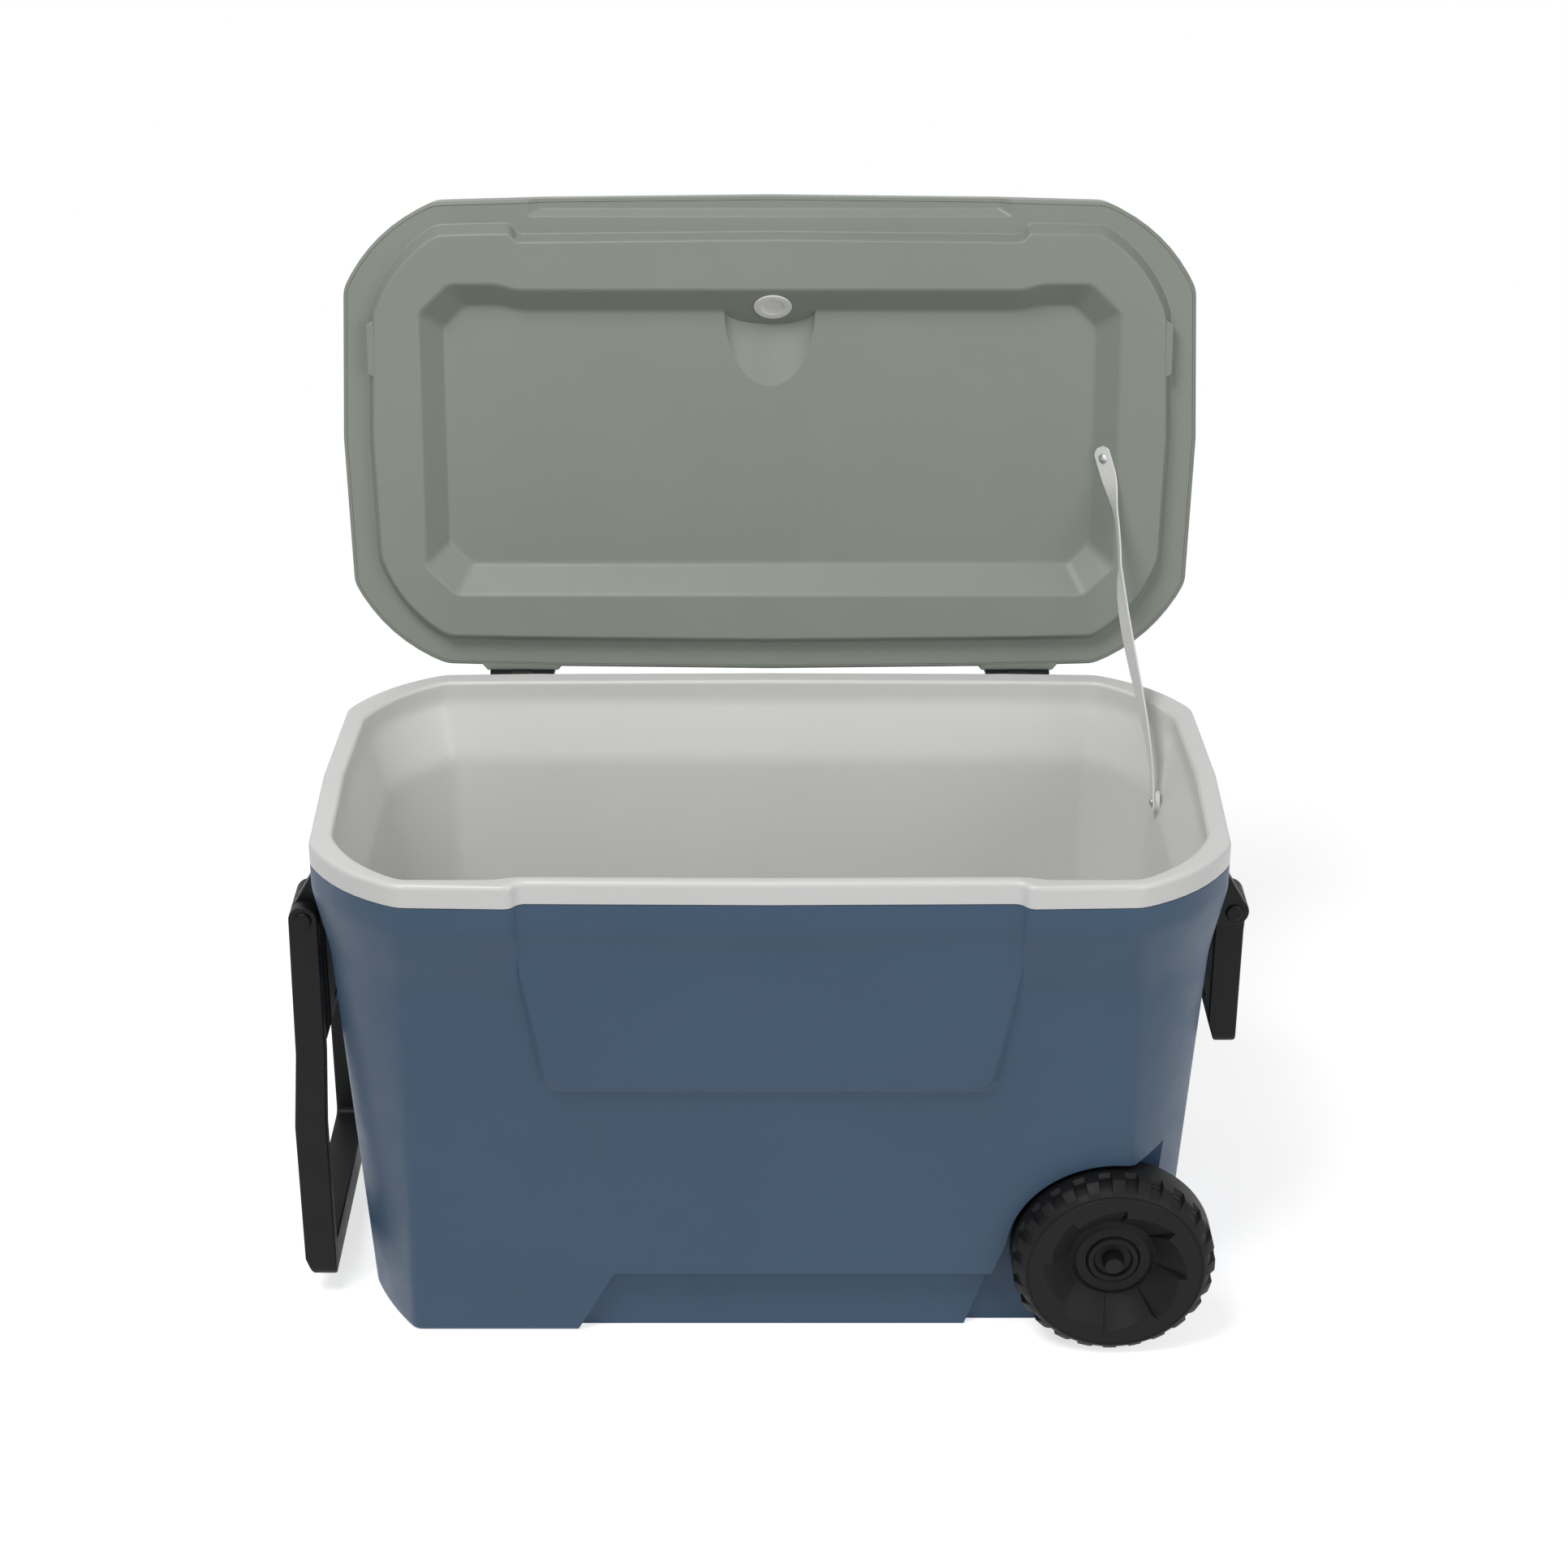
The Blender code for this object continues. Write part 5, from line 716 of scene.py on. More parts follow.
def make_body():
    """The blue moulding: flared collar, proud panel, wheel wells, recess and handle seats."""
    rim = rim_plan()
    foot = plan(*FOOT_PLAN, share=FOOT_BOW_SHARE)
    top = RIM_FOOT - GAP
    rings = [
        level(grown(foot, -FOOT_EDGE_ROUND), 0),
        level(foot, 0),
        level(plan(*WALL_TOP_PLAN, share=WALL_TOP_BOW_SHARE), WALL_TOP),
        level(rim, COLLAR_FOOT),
        level(rim, top),
    ]
    rings = softly(rings, {1: FOOT_EDGE_ROUND, 2: WALL_CREASE, 3: COLLAR_CREASE})
    body = as_object("blue_body", loft(filled(rings, RING_SPACING)))
    combined(body, "UNION", panel_solid(), *hinge_seats(LID_WALL, COLLAR_FOOT + 2 * GAP, top - GAP))
    radius = WHEEL_RADIUS + WELL_CLEARANCE
    arch = arc((WHEEL_X, WHEEL_RADIUS), radius, *WELL_ARC)
    left_x, left_z = arch[-1]
    well_slant = (left_x - WELL_SLANT_FOOT_X) / left_z
    well_foot_x = WELL_SLANT_FOOT_X - well_slant * OVERRUN
    outside = RIM_HALF_X + OVERRUN
    well = [(well_foot_x, -OVERRUN), (outside, -OVERRUN), (outside, WELL_END_Z)] + arch
    slant = (RECESS_TOP_X - RECESS_FOOT_X) / RECESS_TOP_Z
    recess = [
        (RECESS_FOOT_X - slant * OVERRUN, -OVERRUN),
        (WHEEL_X - WHEEL_RADIUS, -OVERRUN),
        (WHEEL_X - WHEEL_RADIUS, RECESS_TOP_Z),
        (RECESS_TOP_X, RECESS_TOP_Z),
    ]
    cuts = [prism(well, "Y", *span(side, WELL_WALL_Y, RIM_HALF_Y + OVERRUN)) for side in (-1, 1)]
    cuts.append(prism(recess, "Y", -RIM_HALF_Y, -FOOT_PLAN[1] + RECESS_DEPTH))
    half_y = BRACKET_HALF_Y + GAP
    for side in (-1, 1):
        low_x, high_x = span(side, BRACKET_SEAT_X, outside)
        cuts.append(box((low_x, -half_y, BRACKET_FOOT_Z - GAP), (high_x, half_y, BRACKET_TOP_Z + GAP)))
    cuts.append(rod((-DRAIN_SEAT_X, 0, DRAIN_Z), (-RIM_HALF_X, 0, DRAIN_Z), DRAIN_POCKET_RADIUS))
    combined(body, "DIFFERENCE", *cuts)

    def on_line(point, foot_x, lean):
        return abs(point.x - foot_x - lean * point.z) < TOUCH

    def on_well(point):
        up = point.z - WHEEL_RADIUS
        if up > -GAP and abs(math.hypot(point.x - WHEEL_X, up) - radius) < TOUCH:
            return True
        return point.z < left_z + GAP and on_line(point, WELL_SLANT_FOOT_X, well_slant)

    def on_recess(point):
        if abs(point.z - RECESS_TOP_Z) < TOUCH and point.x > RECESS_TOP_X - TOUCH:
            return True
        return point.z < RECESS_TOP_Z + GAP and on_line(point, RECESS_FOOT_X, slant)

    def radius_at(point, edge):
        ends = [vert.co for vert in edge.verts]
        if abs(point.y) < WELL_WALL_Y + CUT_ROUND or point.z < FOOT_EDGE_ROUND / 2:
            return 0
        if point.x > 0 and all(on_well(end) for end in ends):
            return CUT_ROUND
        if point.y < 0 and all(on_recess(end) for end in ends):
            return RECESS_ROUND
        return 0

    rounded(body, radius_at)
    shaft_end = WELL_WALL_Y + OVERRUN
    shaft = rod(*[(WHEEL_X, y, WHEEL_RADIUS) for y in (-shaft_end, shaft_end)], AXLE_RADIUS + GAP)
    cavity = as_object("cavity", tub_outside(LINER_WALL + GAP, RIM_TOP))
    combined(cavity, "DIFFERENCE", *hump_boxes(LINER_WALL + GAP))
    combined(body, "DIFFERENCE", cavity, drain_hole(), shaft)
    shaded(merged(body))
    dressed(body, BLUE, "base", "blue_plastic", "body_shell", "tub_foam")


def hinge_seats(wall, foot, top):
    """The flat seats of the two hinges, from within the rim's wall out to the hinges' leaves."""
    seats = []
    for side in (-1, 1):
        low = (side * HINGE_X - HINGE_SEAT_HALF, RIM_HALF_Y - wall, foot)
        high = (side * HINGE_X + HINGE_SEAT_HALF, HINGE_SEAT_Y, top)
        seats.append(soft_box(low, high, SMALL_ROUND))
    return seats


def drain_hole():
    inner = -TUB_FOOT_PLAN[0] + OVERRUN
    return rod((-RIM_HALF_X, 0, DRAIN_Z), (inner, 0, DRAIN_Z), DRAIN_TUBE_RADIUS + GAP)


def panel_solid():
    """The proud front panel: it tapers down to a ledge and runs into the collar at its top."""
    lean = (WALL_TOP_PLAN[1] - FOOT_PLAN[1]) / WALL_TOP
    foot_front = WALL_TOP_PLAN[1] - lean * (WALL_TOP - PANEL_FOOT_Z) + PANEL_PROUD
    inner_x = RIM_HALF_X - RIM_CUT_X
    top_z = COLLAR_FOOT + PANEL_SIDE_RUN

    def trapezoid(growth, foot_z):
        foot, top = PANEL_FOOT_HALF_X + growth, PANEL_TOP_HALF_X + growth
        corners = [(-foot, foot_z), (foot, foot_z), (top, top_z), (-top, top_z)]
        return dense(softened(corners, {0: PANEL_CORNER, 1: PANEL_CORNER}))

    def ring(shape, depth):
        points = []
        for x, z in shape:
            bow = RIM_BULGE * (1 - (x / inner_x) ** 2)
            share = min((z - PANEL_FOOT_Z) / (COLLAR_FOOT - PANEL_FOOT_Z), 1)
            collar = RIM_HALF_Y - SET_BACK + bow - PANEL_TOP_SINK
            past = max(z - COLLAR_FOOT, 0)
            points.append((x, -(foot_front + (collar - foot_front) * share) + depth + past, z))
        return points

    face = trapezoid(0, PANEL_FOOT_Z)
    wide = trapezoid(PANEL_SIDE_RUN, PANEL_FOOT_Z - PANEL_LEDGE)
    rings = [
        ring(grown(face, -PANEL_ROUND), 0),
        ring(face, 0),
        ring(wide, PANEL_PROUD),
        ring(wide, PANEL_BACK),
    ]
    return loft(softly(rings, {1: PANEL_ROUND}))


def tub_plans():
    """The tub's room from above, at its floor, its shoulder and its mouth."""
    foot = plan(*TUB_FOOT_PLAN, share=FOOT_BOW_SHARE)
    return foot, plan(*TUB_SHOULDER_PLAN, share=WALL_TOP_BOW_SHARE), plan(*TUB_TOP_PLAN)


def tub_outside(growth, top):
    """The tub's room with its steps left out, moved outwards by a growth and drawn up to a height."""
    foot, shoulder, mouth = [grown(outline, growth) for outline in tub_plans()]
    return loft([
        level(foot, TUB_FLOOR_Z - growth),
        level(shoulder, TUB_SHOULDER_Z),
        level(mouth, RIM_TOP - TUB_THROAT),
        level(mouth, top),
    ])


def hump_corners(inset):
    """The corners of the boxes behind the raised steps in the tub's floor."""
    outside = RIM_HALF_X + OVERRUN
    beyond = RIM_HALF_Y + OVERRUN
    boxes = []
    for side in (-1, 1):
        low, high = sorted((side * (HUMP_Y + inset), side * beyond))
        boxes.append(((HUMP_X + inset, low, -OVERRUN), (outside, high, HUMP_Z - inset)))
    boxes.append((
        (STEP_X + inset, -beyond - OVERRUN, -OVERRUN - OVERRUN),
        (outside + OVERRUN, beyond + OVERRUN, STEP_Z - inset),
    ))
    return boxes


def hump_boxes(inset):
    return [box(*corners) for corners in hump_corners(inset)]


def make_tub():
    """The white tub with its broad rounded rim."""
    rim = rim_plan()
    foot, shoulder, mouth = tub_plans()
    rings = [
        level(inset_plan(TUB_FOOT_PLAN, 2 * FLOOR_ROUND, FOOT_BOW_SHARE), TUB_FLOOR_Z),
        level(foot, TUB_FLOOR_Z),
        level(shoulder, TUB_SHOULDER_Z),
        level(mouth, RIM_TOP - TUB_THROAT),
        level(mouth, RIM_TOP),
        level(rim, RIM_TOP),
        level(rim, RIM_FOOT),
        level(grown(mouth, LINER_WALL), RIM_FOOT),
        level(grown(shoulder, LINER_WALL), TUB_SHOULDER_Z),
        level(grown(foot, LINER_WALL), TUB_FLOOR_Z - LINER_WALL),
    ]
    bends = [FLOOR_ROUND, SHOULDER_CREASE, THROAT_CREASE, MOUTH_ROUND, RIM_ROUND, SMALL_ROUND]
    lengths = dict(enumerate(bends, 1))
    tub = as_object("white_tub", loft(filled(softly(rings, lengths), RING_SPACING)))
    combined(tub, "UNION", *hinge_seats(LINER_WALL, RIM_FOOT + GAP, RIM_TOP - RIM_ROUND - GAP))
    humps = []
    for corners in hump_corners(0):
        within = tub_outside(LINER_WALL - GAP, RIM_TOP)
        humps.append(combined(soft_box(*corners, HUMP_ROUND), "INTERSECT", within))
    combined(tub, "UNION", *humps, thorough=True)
    rise = SMALL_ROUND
    boss = [
        (STRAP_BOSS_RADIUS - rise, 0),
        (STRAP_BOSS_RADIUS - rise * BACK_CORNER_SHARE, rise * BACK_CORNER_SHARE),
        (STRAP_BOSS_RADIUS, rise),
        (STRAP_BOSS_RADIUS, STRAP_BOSS_LENGTH),
    ]
    combined(tub, "UNION", lathe((STRAP_BOSS_X, STRAP_TUB_Y, STRAP_TUB_Z), (1, 0, 0), boss))
    middle = RIM_TOP - NUB_DROP
    for side in (-1, 1):
        low_x, high_x = span(side, NUB_WALL_X - NUB_PROUD, NUB_WALL_X + NUB_PROUD)
        low = (low_x, NUB_FRONT_Y, middle - NUB_HEIGHT / 2)
        high = (high_x, NUB_REAR_Y, middle + NUB_HEIGHT / 2)
        combined(tub, "UNION", soft_box(low, high, SMALL_ROUND))
    combined(tub, "DIFFERENCE", *hump_boxes(LINER_WALL), drain_hole())
    shaded(tub)
    dressed(tub, WHITE, "base", "white_plastic", "tub_liner")


def make_lid():
    """The sage lid: a shell with a raised panel on top and hinge tabs behind."""
    outline = plan(*LID_PLAN)
    top = LID_PLANE + LID_HEIGHT
    border = top - LID_BORDER_DROP
    raised = LID_BORDER + 2 * LID_BORDER_DROP
    rings = [
        level(grown(outline, -LID_LOWER_ROUND), LID_PLANE),
        level(outline, LID_PLANE + LID_LOWER_ROUND),
        level(grown(outline, -LID_DRAFT), border),
        level(inset_plan(LID_PLAN, LID_BORDER), border),
        level(inset_plan(LID_PLAN, raised), top),
        level(inset_plan(LID_PLAN, raised + PANEL_ROUND), top),
    ]
    soft = {2: LID_EDGE_ROUND, 3: LID_BORDER_DROP, 4: LID_BORDER_DROP - GAP}
    shell = as_object("sage_lid", loft(softly(rings, soft)))
    root_y = LID_PLAN[1] - LID_WALL / 2
    for side in (-1, 1):
        centre = side * HINGE_X
        tab = [
            (centre - LID_TAB_HALF, root_y),
            (centre + LID_TAB_HALF, root_y),
            (centre + LID_TAB_HALF - LID_TAB_SLOPE, LID_TAB_Y),
            (centre - LID_TAB_HALF + LID_TAB_SLOPE, LID_TAB_Y),
        ]
        block = as_object("lid_tab", prism(tab, "Z", LID_PLANE + GAP, LID_PLANE + LID_LEAF_TOP + GAP))
        combined(shell, "UNION", rounded(block, SMALL_ROUND))
    inner = grown(outline, -LID_WALL)
    growth = LINER_WALL + GAP
    room = prism(inner, "Z", LID_PLANE - OVERRUN, LID_PLANE + LID_FLANGE + GAP)
    backs = [pocket_back(growth), grip_back(growth, inner), scoop_block(growth)]
    combined(shell, "DIFFERENCE", room, *backs, grip_cutter())
    opened(shaded(shell))
    dressed(shell, SAGE, "lid", "sage_plastic", "lid_shell", "lid_foam")


def pocket_outlines(growth):
    """The pocket's mouth and floor from below, each moved outwards by a growth."""
    mouth = grown(plan(*POCKET_PLAN, share=0), growth)
    floor = grown(plan(*POCKET_FLOOR_PLAN, share=0), growth)
    corners = {index: POCKET_CORNER for index in POCKET_CORNERS}
    corners.update({index: POCKET_RAMP_ROUND for index in POCKET_RAMP_POINTS})
    return softened(mouth, corners), softened(floor, corners)


def pocket_back(growth):
    """The room that the pocket takes inside the lid."""
    mouth, floor = pocket_outlines(growth)
    share = (POCKET_FLOOR - 2 * GAP) / (POCKET_FLOOR + PLUG_DEPTH)
    return loft([
        level(between(floor, mouth, share), LID_PLANE + 2 * GAP),
        level(floor, LID_PLANE + POCKET_FLOOR + growth),
    ])


def grip_outlines(growth):
    """The finger recess's mouth and floor from below, open at the lid's front, each grown by a wall."""
    beyond = LID_PLAN[1] + OVERRUN
    result = []
    for half_x, near in ((GRIP_HALF_X, GRIP_NEAR_Y), (GRIP_HALF_X - GRIP_RAMP, GRIP_NEAR_Y + GRIP_SLOPE)):
        half_x, near = half_x + growth, near - growth
        outline = [(-half_x, -beyond), (half_x, -beyond), (half_x, -near), (-half_x, -near)]
        result.append(softened(outline, {2: GRIP_CORNER, 3: GRIP_CORNER}))
    return result


def grip_cutter():
    return hollow(*grip_outlines(0), LID_PLANE, LID_PLANE + GRIP_DEPTH, GRIP_ROUND)


def grip_back(growth, outline):
    """The room that the finger recess takes inside the lid, within an outline."""
    mouth, floor = grip_outlines(growth)
    low = LID_PLANE + GAP + growth / 2
    back = as_object("grip_back", loft([level(mouth, low), level(floor, LID_PLANE + GRIP_DEPTH + growth)]))
    within = prism(outline, "Z", LID_PLANE - OVERRUN, LID_PLANE + 2 * OVERRUN)
    return combined(back, "INTERSECT", within)


def pocket_slope(front):
    """The run of a slope of the pocket, from its edge to its floor, and where its edge lies."""
    if front:
        edge = POCKET_PLAN[1] - POCKET_PLAN[6]
        return edge, edge - POCKET_FLOOR_PLAN[1] + POCKET_FLOOR_PLAN[6]
    return POCKET_PLAN[0], POCKET_PLAN[0] - POCKET_FLOOR_PLAN[0]


def slope_point(along_x, share, front):
    """A point on a slope of the pocket, drawn closed, and the slope's normal."""
    rise = POCKET_FLOOR + PLUG_DEPTH
    edge, run = pocket_slope(front)
    up = LID_PLANE - PLUG_DEPTH + rise * share
    if front:
        return Vector((along_x, run * share - edge, up)), Vector((0, rise, -run)).normalized()
    return Vector((edge - run * share, along_x, up)), Vector((-rise, 0, -run)).normalized()


def scoop_line():
    """Where the scoop starts, at the foot of the pocket's front slope, its way down and its sweep."""
    edge, run = pocket_slope(True)
    start = Vector((0, run - edge, LID_PLANE + POCKET_FLOOR))
    down = Vector((0, run, POCKET_FLOOR + PLUG_DEPTH)).normalized() * SCOOP_DEPTH
    sweep = Vector((0, SCOOP_END_Y, start.z)) - start - down
    return start, down, sweep


def scoop_solid():
    """A shallow oval scoop in the pocket's floor, swept from the slope under the filling plug."""
    start, down, sweep = scoop_line()
    away = down.normalized() * POCKET_ROUND
    across = Vector((SCOOP_HALF_X, 0, 0))
    ring = [start + across - away]
    for step in range(SCOOP_STEPS + 1):
        angle = math.pi * step / SCOOP_STEPS
        ring.append(start + across * math.cos(angle) + down * math.sin(angle))
    ring.append(start - across - away)
    shift = sweep.normalized() * (GAP / 4)
    return loft([[point + shift for point in ring], [point + sweep * 2 for point in ring]])


def scoop_block(growth):
    """The moulding's back over the scoop, inside the lid."""
    start, down, sweep = scoop_line()
    half = SCOOP_HALF_X + growth
    front = start.y - growth - GAP
    low = [(-half, front), (half, front), (half, SCOOP_END_Y), (-half, SCOOP_END_Y)]
    return prism(low, "Z", start.z - POCKET_FLOOR / 2, start.z + down.z + growth)


def catch_solid(side):
    """A catch on each end of the plug, which snaps past the nub in the tub's wall."""
    outline = [
        (CATCH_ROOT_X, CATCH_FRONT_Y),
        (CATCH_X, CATCH_FRONT_Y + CATCH_SLOPE),
        (CATCH_X, CATCH_REAR_Y - CATCH_SLOPE),
        (CATCH_ROOT_X, CATCH_REAR_Y),
    ]
    return prism(mirrored(outline, side), "Z", LID_PLANE - PLUG_DEPTH + PLUG_ROUND / 2, LID_PLANE + GAP)


def make_lid_lining():
    """The lid's underside: flange, soft-edged plug, pocket with sloped sides, and finger recess."""
    flange = grown(plan(*LID_PLAN), -LID_WALL - GAP)
    foot = LID_PLANE - PLUG_DEPTH
    floor = LID_PLANE + POCKET_FLOOR
    lining = as_object("sage_lid_lining", prism(flange, "Z", LID_PLANE, LID_PLANE + LID_FLANGE))
    plug = plan(*PLUG_PLAN)
    narrow = plan(*PLUG_FOOT_PLAN)
    rings = [
        level(grown(narrow, -2 * PLUG_ROUND), foot),
        level(narrow, foot),
        level(plug, LID_PLANE),
        level(grown(plug, PLUG_FLARE), LID_PLANE),
        level(grown(plug, PLUG_FLARE), LID_PLANE + LID_FLANGE / 2),
    ]
    combined(lining, "UNION", loft(softly(rings, {1: PLUG_ROUND, 2: PLUG_FLARE - GAP})))
    for side in (-1, 1):
        combined(lining, "UNION", rounded(as_object("catch", catch_solid(side)), CATCH_ROUND))
    backs = [pocket_back(LINER_WALL), grip_back(LINER_WALL, flange), scoop_block(LINER_WALL)]
    combined(lining, "UNION", *backs, thorough=True)
    pocket = hollow(*pocket_outlines(0), foot, floor, POCKET_ROUND)
    place, normal = slope_point(FILL_X, FILL_SHARE, True)
    hole = lathe(place, normal, [(FILL_NECK + GAP, -OVERRUN), (FILL_NECK + GAP, OVERRUN / 2)])
    combined(lining, "DIFFERENCE", pocket, grip_cutter(), scoop_solid(), hole)
    opened(shaded(merged(lining), EDGE_ANGLE))
    dressed(lining, SAGE, "lid", "sage_plastic", "lid_liner")


def make_fill_plug():
    """The plug in the hole that the lid's foam was poured through: a flange with a sunk middle."""
    place, normal = slope_point(FILL_X, FILL_SHARE, True)
    profile = [
        (FILL_NECK, -FILL_LENGTH),
        (FILL_NECK, GAP),
        (FILL_RADIUS - FILL_LIP, GAP),
        (FILL_RADIUS, GAP + FILL_LIP),
        (FILL_RADIUS - FILL_LIP, FILL_CAP - GAP),
        (FILL_RADIUS - 2 * FILL_LIP, FILL_CAP),
        (FILL_DISH_RADIUS + FILL_LIP, FILL_CAP),
        (FILL_DISH_RADIUS, FILL_CAP - GAP),
        (FILL_DISH_RADIUS - FILL_DISH, FILL_CAP - FILL_DISH),
        (FILL_DISH_RADIUS / 2, FILL_CAP - FILL_DISH - GAP),
    ]
    plug = as_object("fill_plug_dressed", lathe(place, normal, profile))
    opened(shaded(plug))
    # Painted light: the plug takes the strap's lighter white, not the tub's, so that it shows bright though
    # it faces down into shade
    dressed(plug, WEB, "lid", "white_plastic", "foam_plug")


def u_outline(outer, arm, foot, bar, corner):
    """A U seen along X: two arms joined by a bar at the foot, with rounded lower corners."""
    inner = outer - arm
    top = PIVOT_Z + EYE_RADIUS + OVERRUN
    points = [
        (-outer, foot), (outer, foot), (outer, top), (inner, top),
        (inner, foot + bar), (-inner, foot + bar), (-inner, top), (-outer, top),
    ]
    return softened(points, {0: corner, 1: corner, 4: corner / 2, 5: corner / 2}, U_CORNER_STEPS)


def pivot_hole(side):
    """A hole along Y for the pivot pins of one end."""
    return rod(*[(side * PIVOT_X, y, PIVOT_Z) for y in (-RIM_HALF_Y, RIM_HALF_Y)], PIN_RADIUS + GAP)


def make_handle(node, side, outline, profile, edge_round):
    """A U-shaped handle, cut to its profile across Y, with soft edges and a pivot hole in each arm."""
    reach = span(side, BRACKET_SEAT_X - OVERRUN, PIVOT_X + 3 * OVERRUN)
    handle = as_object(f"{node}_dressed", prism(outline, "X", *reach))
    combined(handle, "INTERSECT", prism(mirrored(profile, side), "Y", -RIM_HALF_Y, RIM_HALF_Y))
    rounded(handle, edge_round, HANDLE_EDGE_ANGLE)
    combined(handle, "DIFFERENCE", pivot_hole(side))
    shaded(handle)
    dressed(handle, BLACK, node, "black_plastic", node)


def make_carry_handle(side, name):
    profile = [
        (CARRY_INNER_X, CARRY_FOOT_Z + CARRY_CHAMFER_RISE),
        (CARRY_INNER_X + CARRY_CHAMFER_RUN, CARRY_FOOT_Z),
        (CARRY_OUTER_X - CARRY_FOOT_CHAMFER, CARRY_FOOT_Z),
        (CARRY_OUTER_X, CARRY_FOOT_Z + CARRY_FOOT_CHAMFER),
        (CARRY_OUTER_X, PIVOT_Z - 2 * EYE_RADIUS),
        *arc((PIVOT_X, PIVOT_Z), EYE_RADIUS, *EYE_ARC),
        (CARRY_INNER_X, PIVOT_Z - 2 * EYE_RADIUS),
    ]
    outline = u_outline(EAR_INNER_Y - EAR_CLEARANCE, CARRY_ARM, CARRY_FOOT_Z, CARRY_BAR, CARRY_CORNER)
    make_handle(f"carry_handle_{name}", side, outline, profile, CARRY_ROUND)


def make_tow_handle():
    profile = [
        (TOW_LOWER_INNER_X, TOW_FOOT_Z + TOW_CHAMFER_RUN / 2),
        (TOW_LOWER_INNER_X + TOW_CHAMFER_RUN / 2, TOW_FOOT_Z),
        (TOW_LOWER_OUTER_X - TOW_CHAMFER_RUN, TOW_FOOT_Z),
        (TOW_LOWER_OUTER_X, TOW_FOOT_Z + TOW_CHAMFER_RISE),
        (TOW_LOWER_OUTER_X, TOW_KINK_FOOT_Z),
        (TOW_UPPER_OUTER_X, TOW_KINK_TOP_Z),
        *arc((PIVOT_X, PIVOT_Z), EYE_RADIUS, *EYE_ARC),
        (TOW_UPPER_INNER_X, TOW_KINK_TOP_Z),
        (TOW_LOWER_INNER_X, TOW_KINK_FOOT_Z),
    ]
    outer = EAR_OUTER_Y + EAR_CLEARANCE + TOW_ARM
    outline = u_outline(outer, TOW_ARM, TOW_FOOT_Z, TOW_BAR, TOW_CORNER)
    make_handle("tow_handle", -1, outline, profile, TOW_ROUND)


def make_bracket(side, name):
    """The handle bracket under the rim: a plate with an ear at each end of it."""
    seat = BRACKET_SEAT_X + GAP
    low_x, high_x = span(side, seat, seat + BRACKET_PLATE)
    plate = box((low_x, -BRACKET_HALF_Y, BRACKET_FOOT_Z), (high_x, BRACKET_HALF_Y, BRACKET_TOP_Z))
    bracket = as_object(f"bracket_{name}_dressed", plate)
    profile = [
        (seat, BRACKET_FOOT_Z),
        (PIVOT_X, BRACKET_FOOT_Z),
        *arc((PIVOT_X, PIVOT_Z), EYE_RADIUS, *EAR_ARC)[1:],
        (seat + BRACKET_TOP_RUN, BRACKET_TOP_Z),
        (seat, BRACKET_TOP_Z),
    ]
    for end in (-1, 1):
        ear = prism(mirrored(profile, side), "Y", *span(end, EAR_INNER_Y, EAR_OUTER_Y))
        combined(bracket, "UNION", ear)
    rounded(bracket, BRACKET_ROUND, HANDLE_EDGE_ANGLE)
    combined(bracket, "DIFFERENCE", pivot_hole(side))
    shaded(bracket)
    dressed(bracket, BLACK, "base", "black_plastic", f"handle_bracket_{name}")


def make_screw(node, seat, outward, size, plate, body):
    """A domed screw with a cross recess, in place of a plain one, through a plate into what is behind."""
    head_radius, head_height, radius, grip = size
    seat, outward = Vector(seat), Vector(outward).normalized()
    profile = [(radius, -(plate + GAP + grip)), (radius, GAP), (head_radius, GAP)]
    for angle in DOME_ANGLES:
        profile.append((head_radius * math.cos(angle), GAP + head_height * math.sin(angle)))
    profile.append((head_radius * CROSS_TIP_SHARE, GAP + head_height))
    screw = as_object(f"{node}_dressed", lathe(seat, outward, profile, SCREW_SIDES))
    turn = outward.to_track_quat("Z", "Y").to_matrix()
    wide, long = head_radius * CROSS_WIDTH_SHARE, head_radius * CROSS_LENGTH_SHARE
    for x, y in ((wide, long), (long, wide)):
        arm = box((-x, -y, head_height * CROSS_FLOOR_SHARE), (x, y, OVERRUN))
        for vert in arm.verts:
            vert.co = seat + turn @ vert.co
        combined(screw, "DIFFERENCE", arm)
    shaded(screw)
    return dressed(screw, STEEL, body, "steel", node)


def make_screws():
    for side, name in SIDES:
        for number, offset in ((1, -SCREW_SPACING / 2), (2, SCREW_SPACING / 2)):
            x = side * HINGE_X + offset
            seat = (x, HINGE_SEAT_Y + GAP + LEAF_THICKNESS, TUB_SCREW_Z)
            fit = ((0, 1, 0), HINGE_SCREW, LEAF_THICKNESS)
            make_screw(f"hinge_screw_tub_{name}_{number}", seat, *fit, "base")
            seat = (x, LID_TAB_Y + GAP + LEAF_THICKNESS, LID_PLANE + LID_SCREW_RISE)
            opened(make_screw(f"hinge_screw_lid_{name}_{number}", seat, *fit, "lid"))
        for number, y in ((1, -BRACKET_SCREW_Y), (2, BRACKET_SCREW_Y)):
            seat = (side * (BRACKET_SEAT_X + GAP + BRACKET_PLATE), y, BRACKET_SCREW_Z)
            node = f"bracket_screw_{name}_{number}"
            make_screw(node, seat, (side, 0, 0), BRACKET_SCREW, BRACKET_PLATE, "base")
    seat = (STRAP_BOSS_X - GAP - STRAP_THICKNESS, STRAP_TUB_Y, STRAP_TUB_Z)
    make_screw("strap_screw_tub", seat, (-1, 0, 0), STRAP_SCREW, STRAP_THICKNESS, "base")
    place, normal = slope_point(STRAP_LID_Y, STRAP_LID_SHARE, False)
    seat = place + normal * (GAP + STRAP_THICKNESS)
    opened(make_screw("strap_screw_lid", seat, normal, STRAP_SCREW, STRAP_THICKNESS, "lid"))


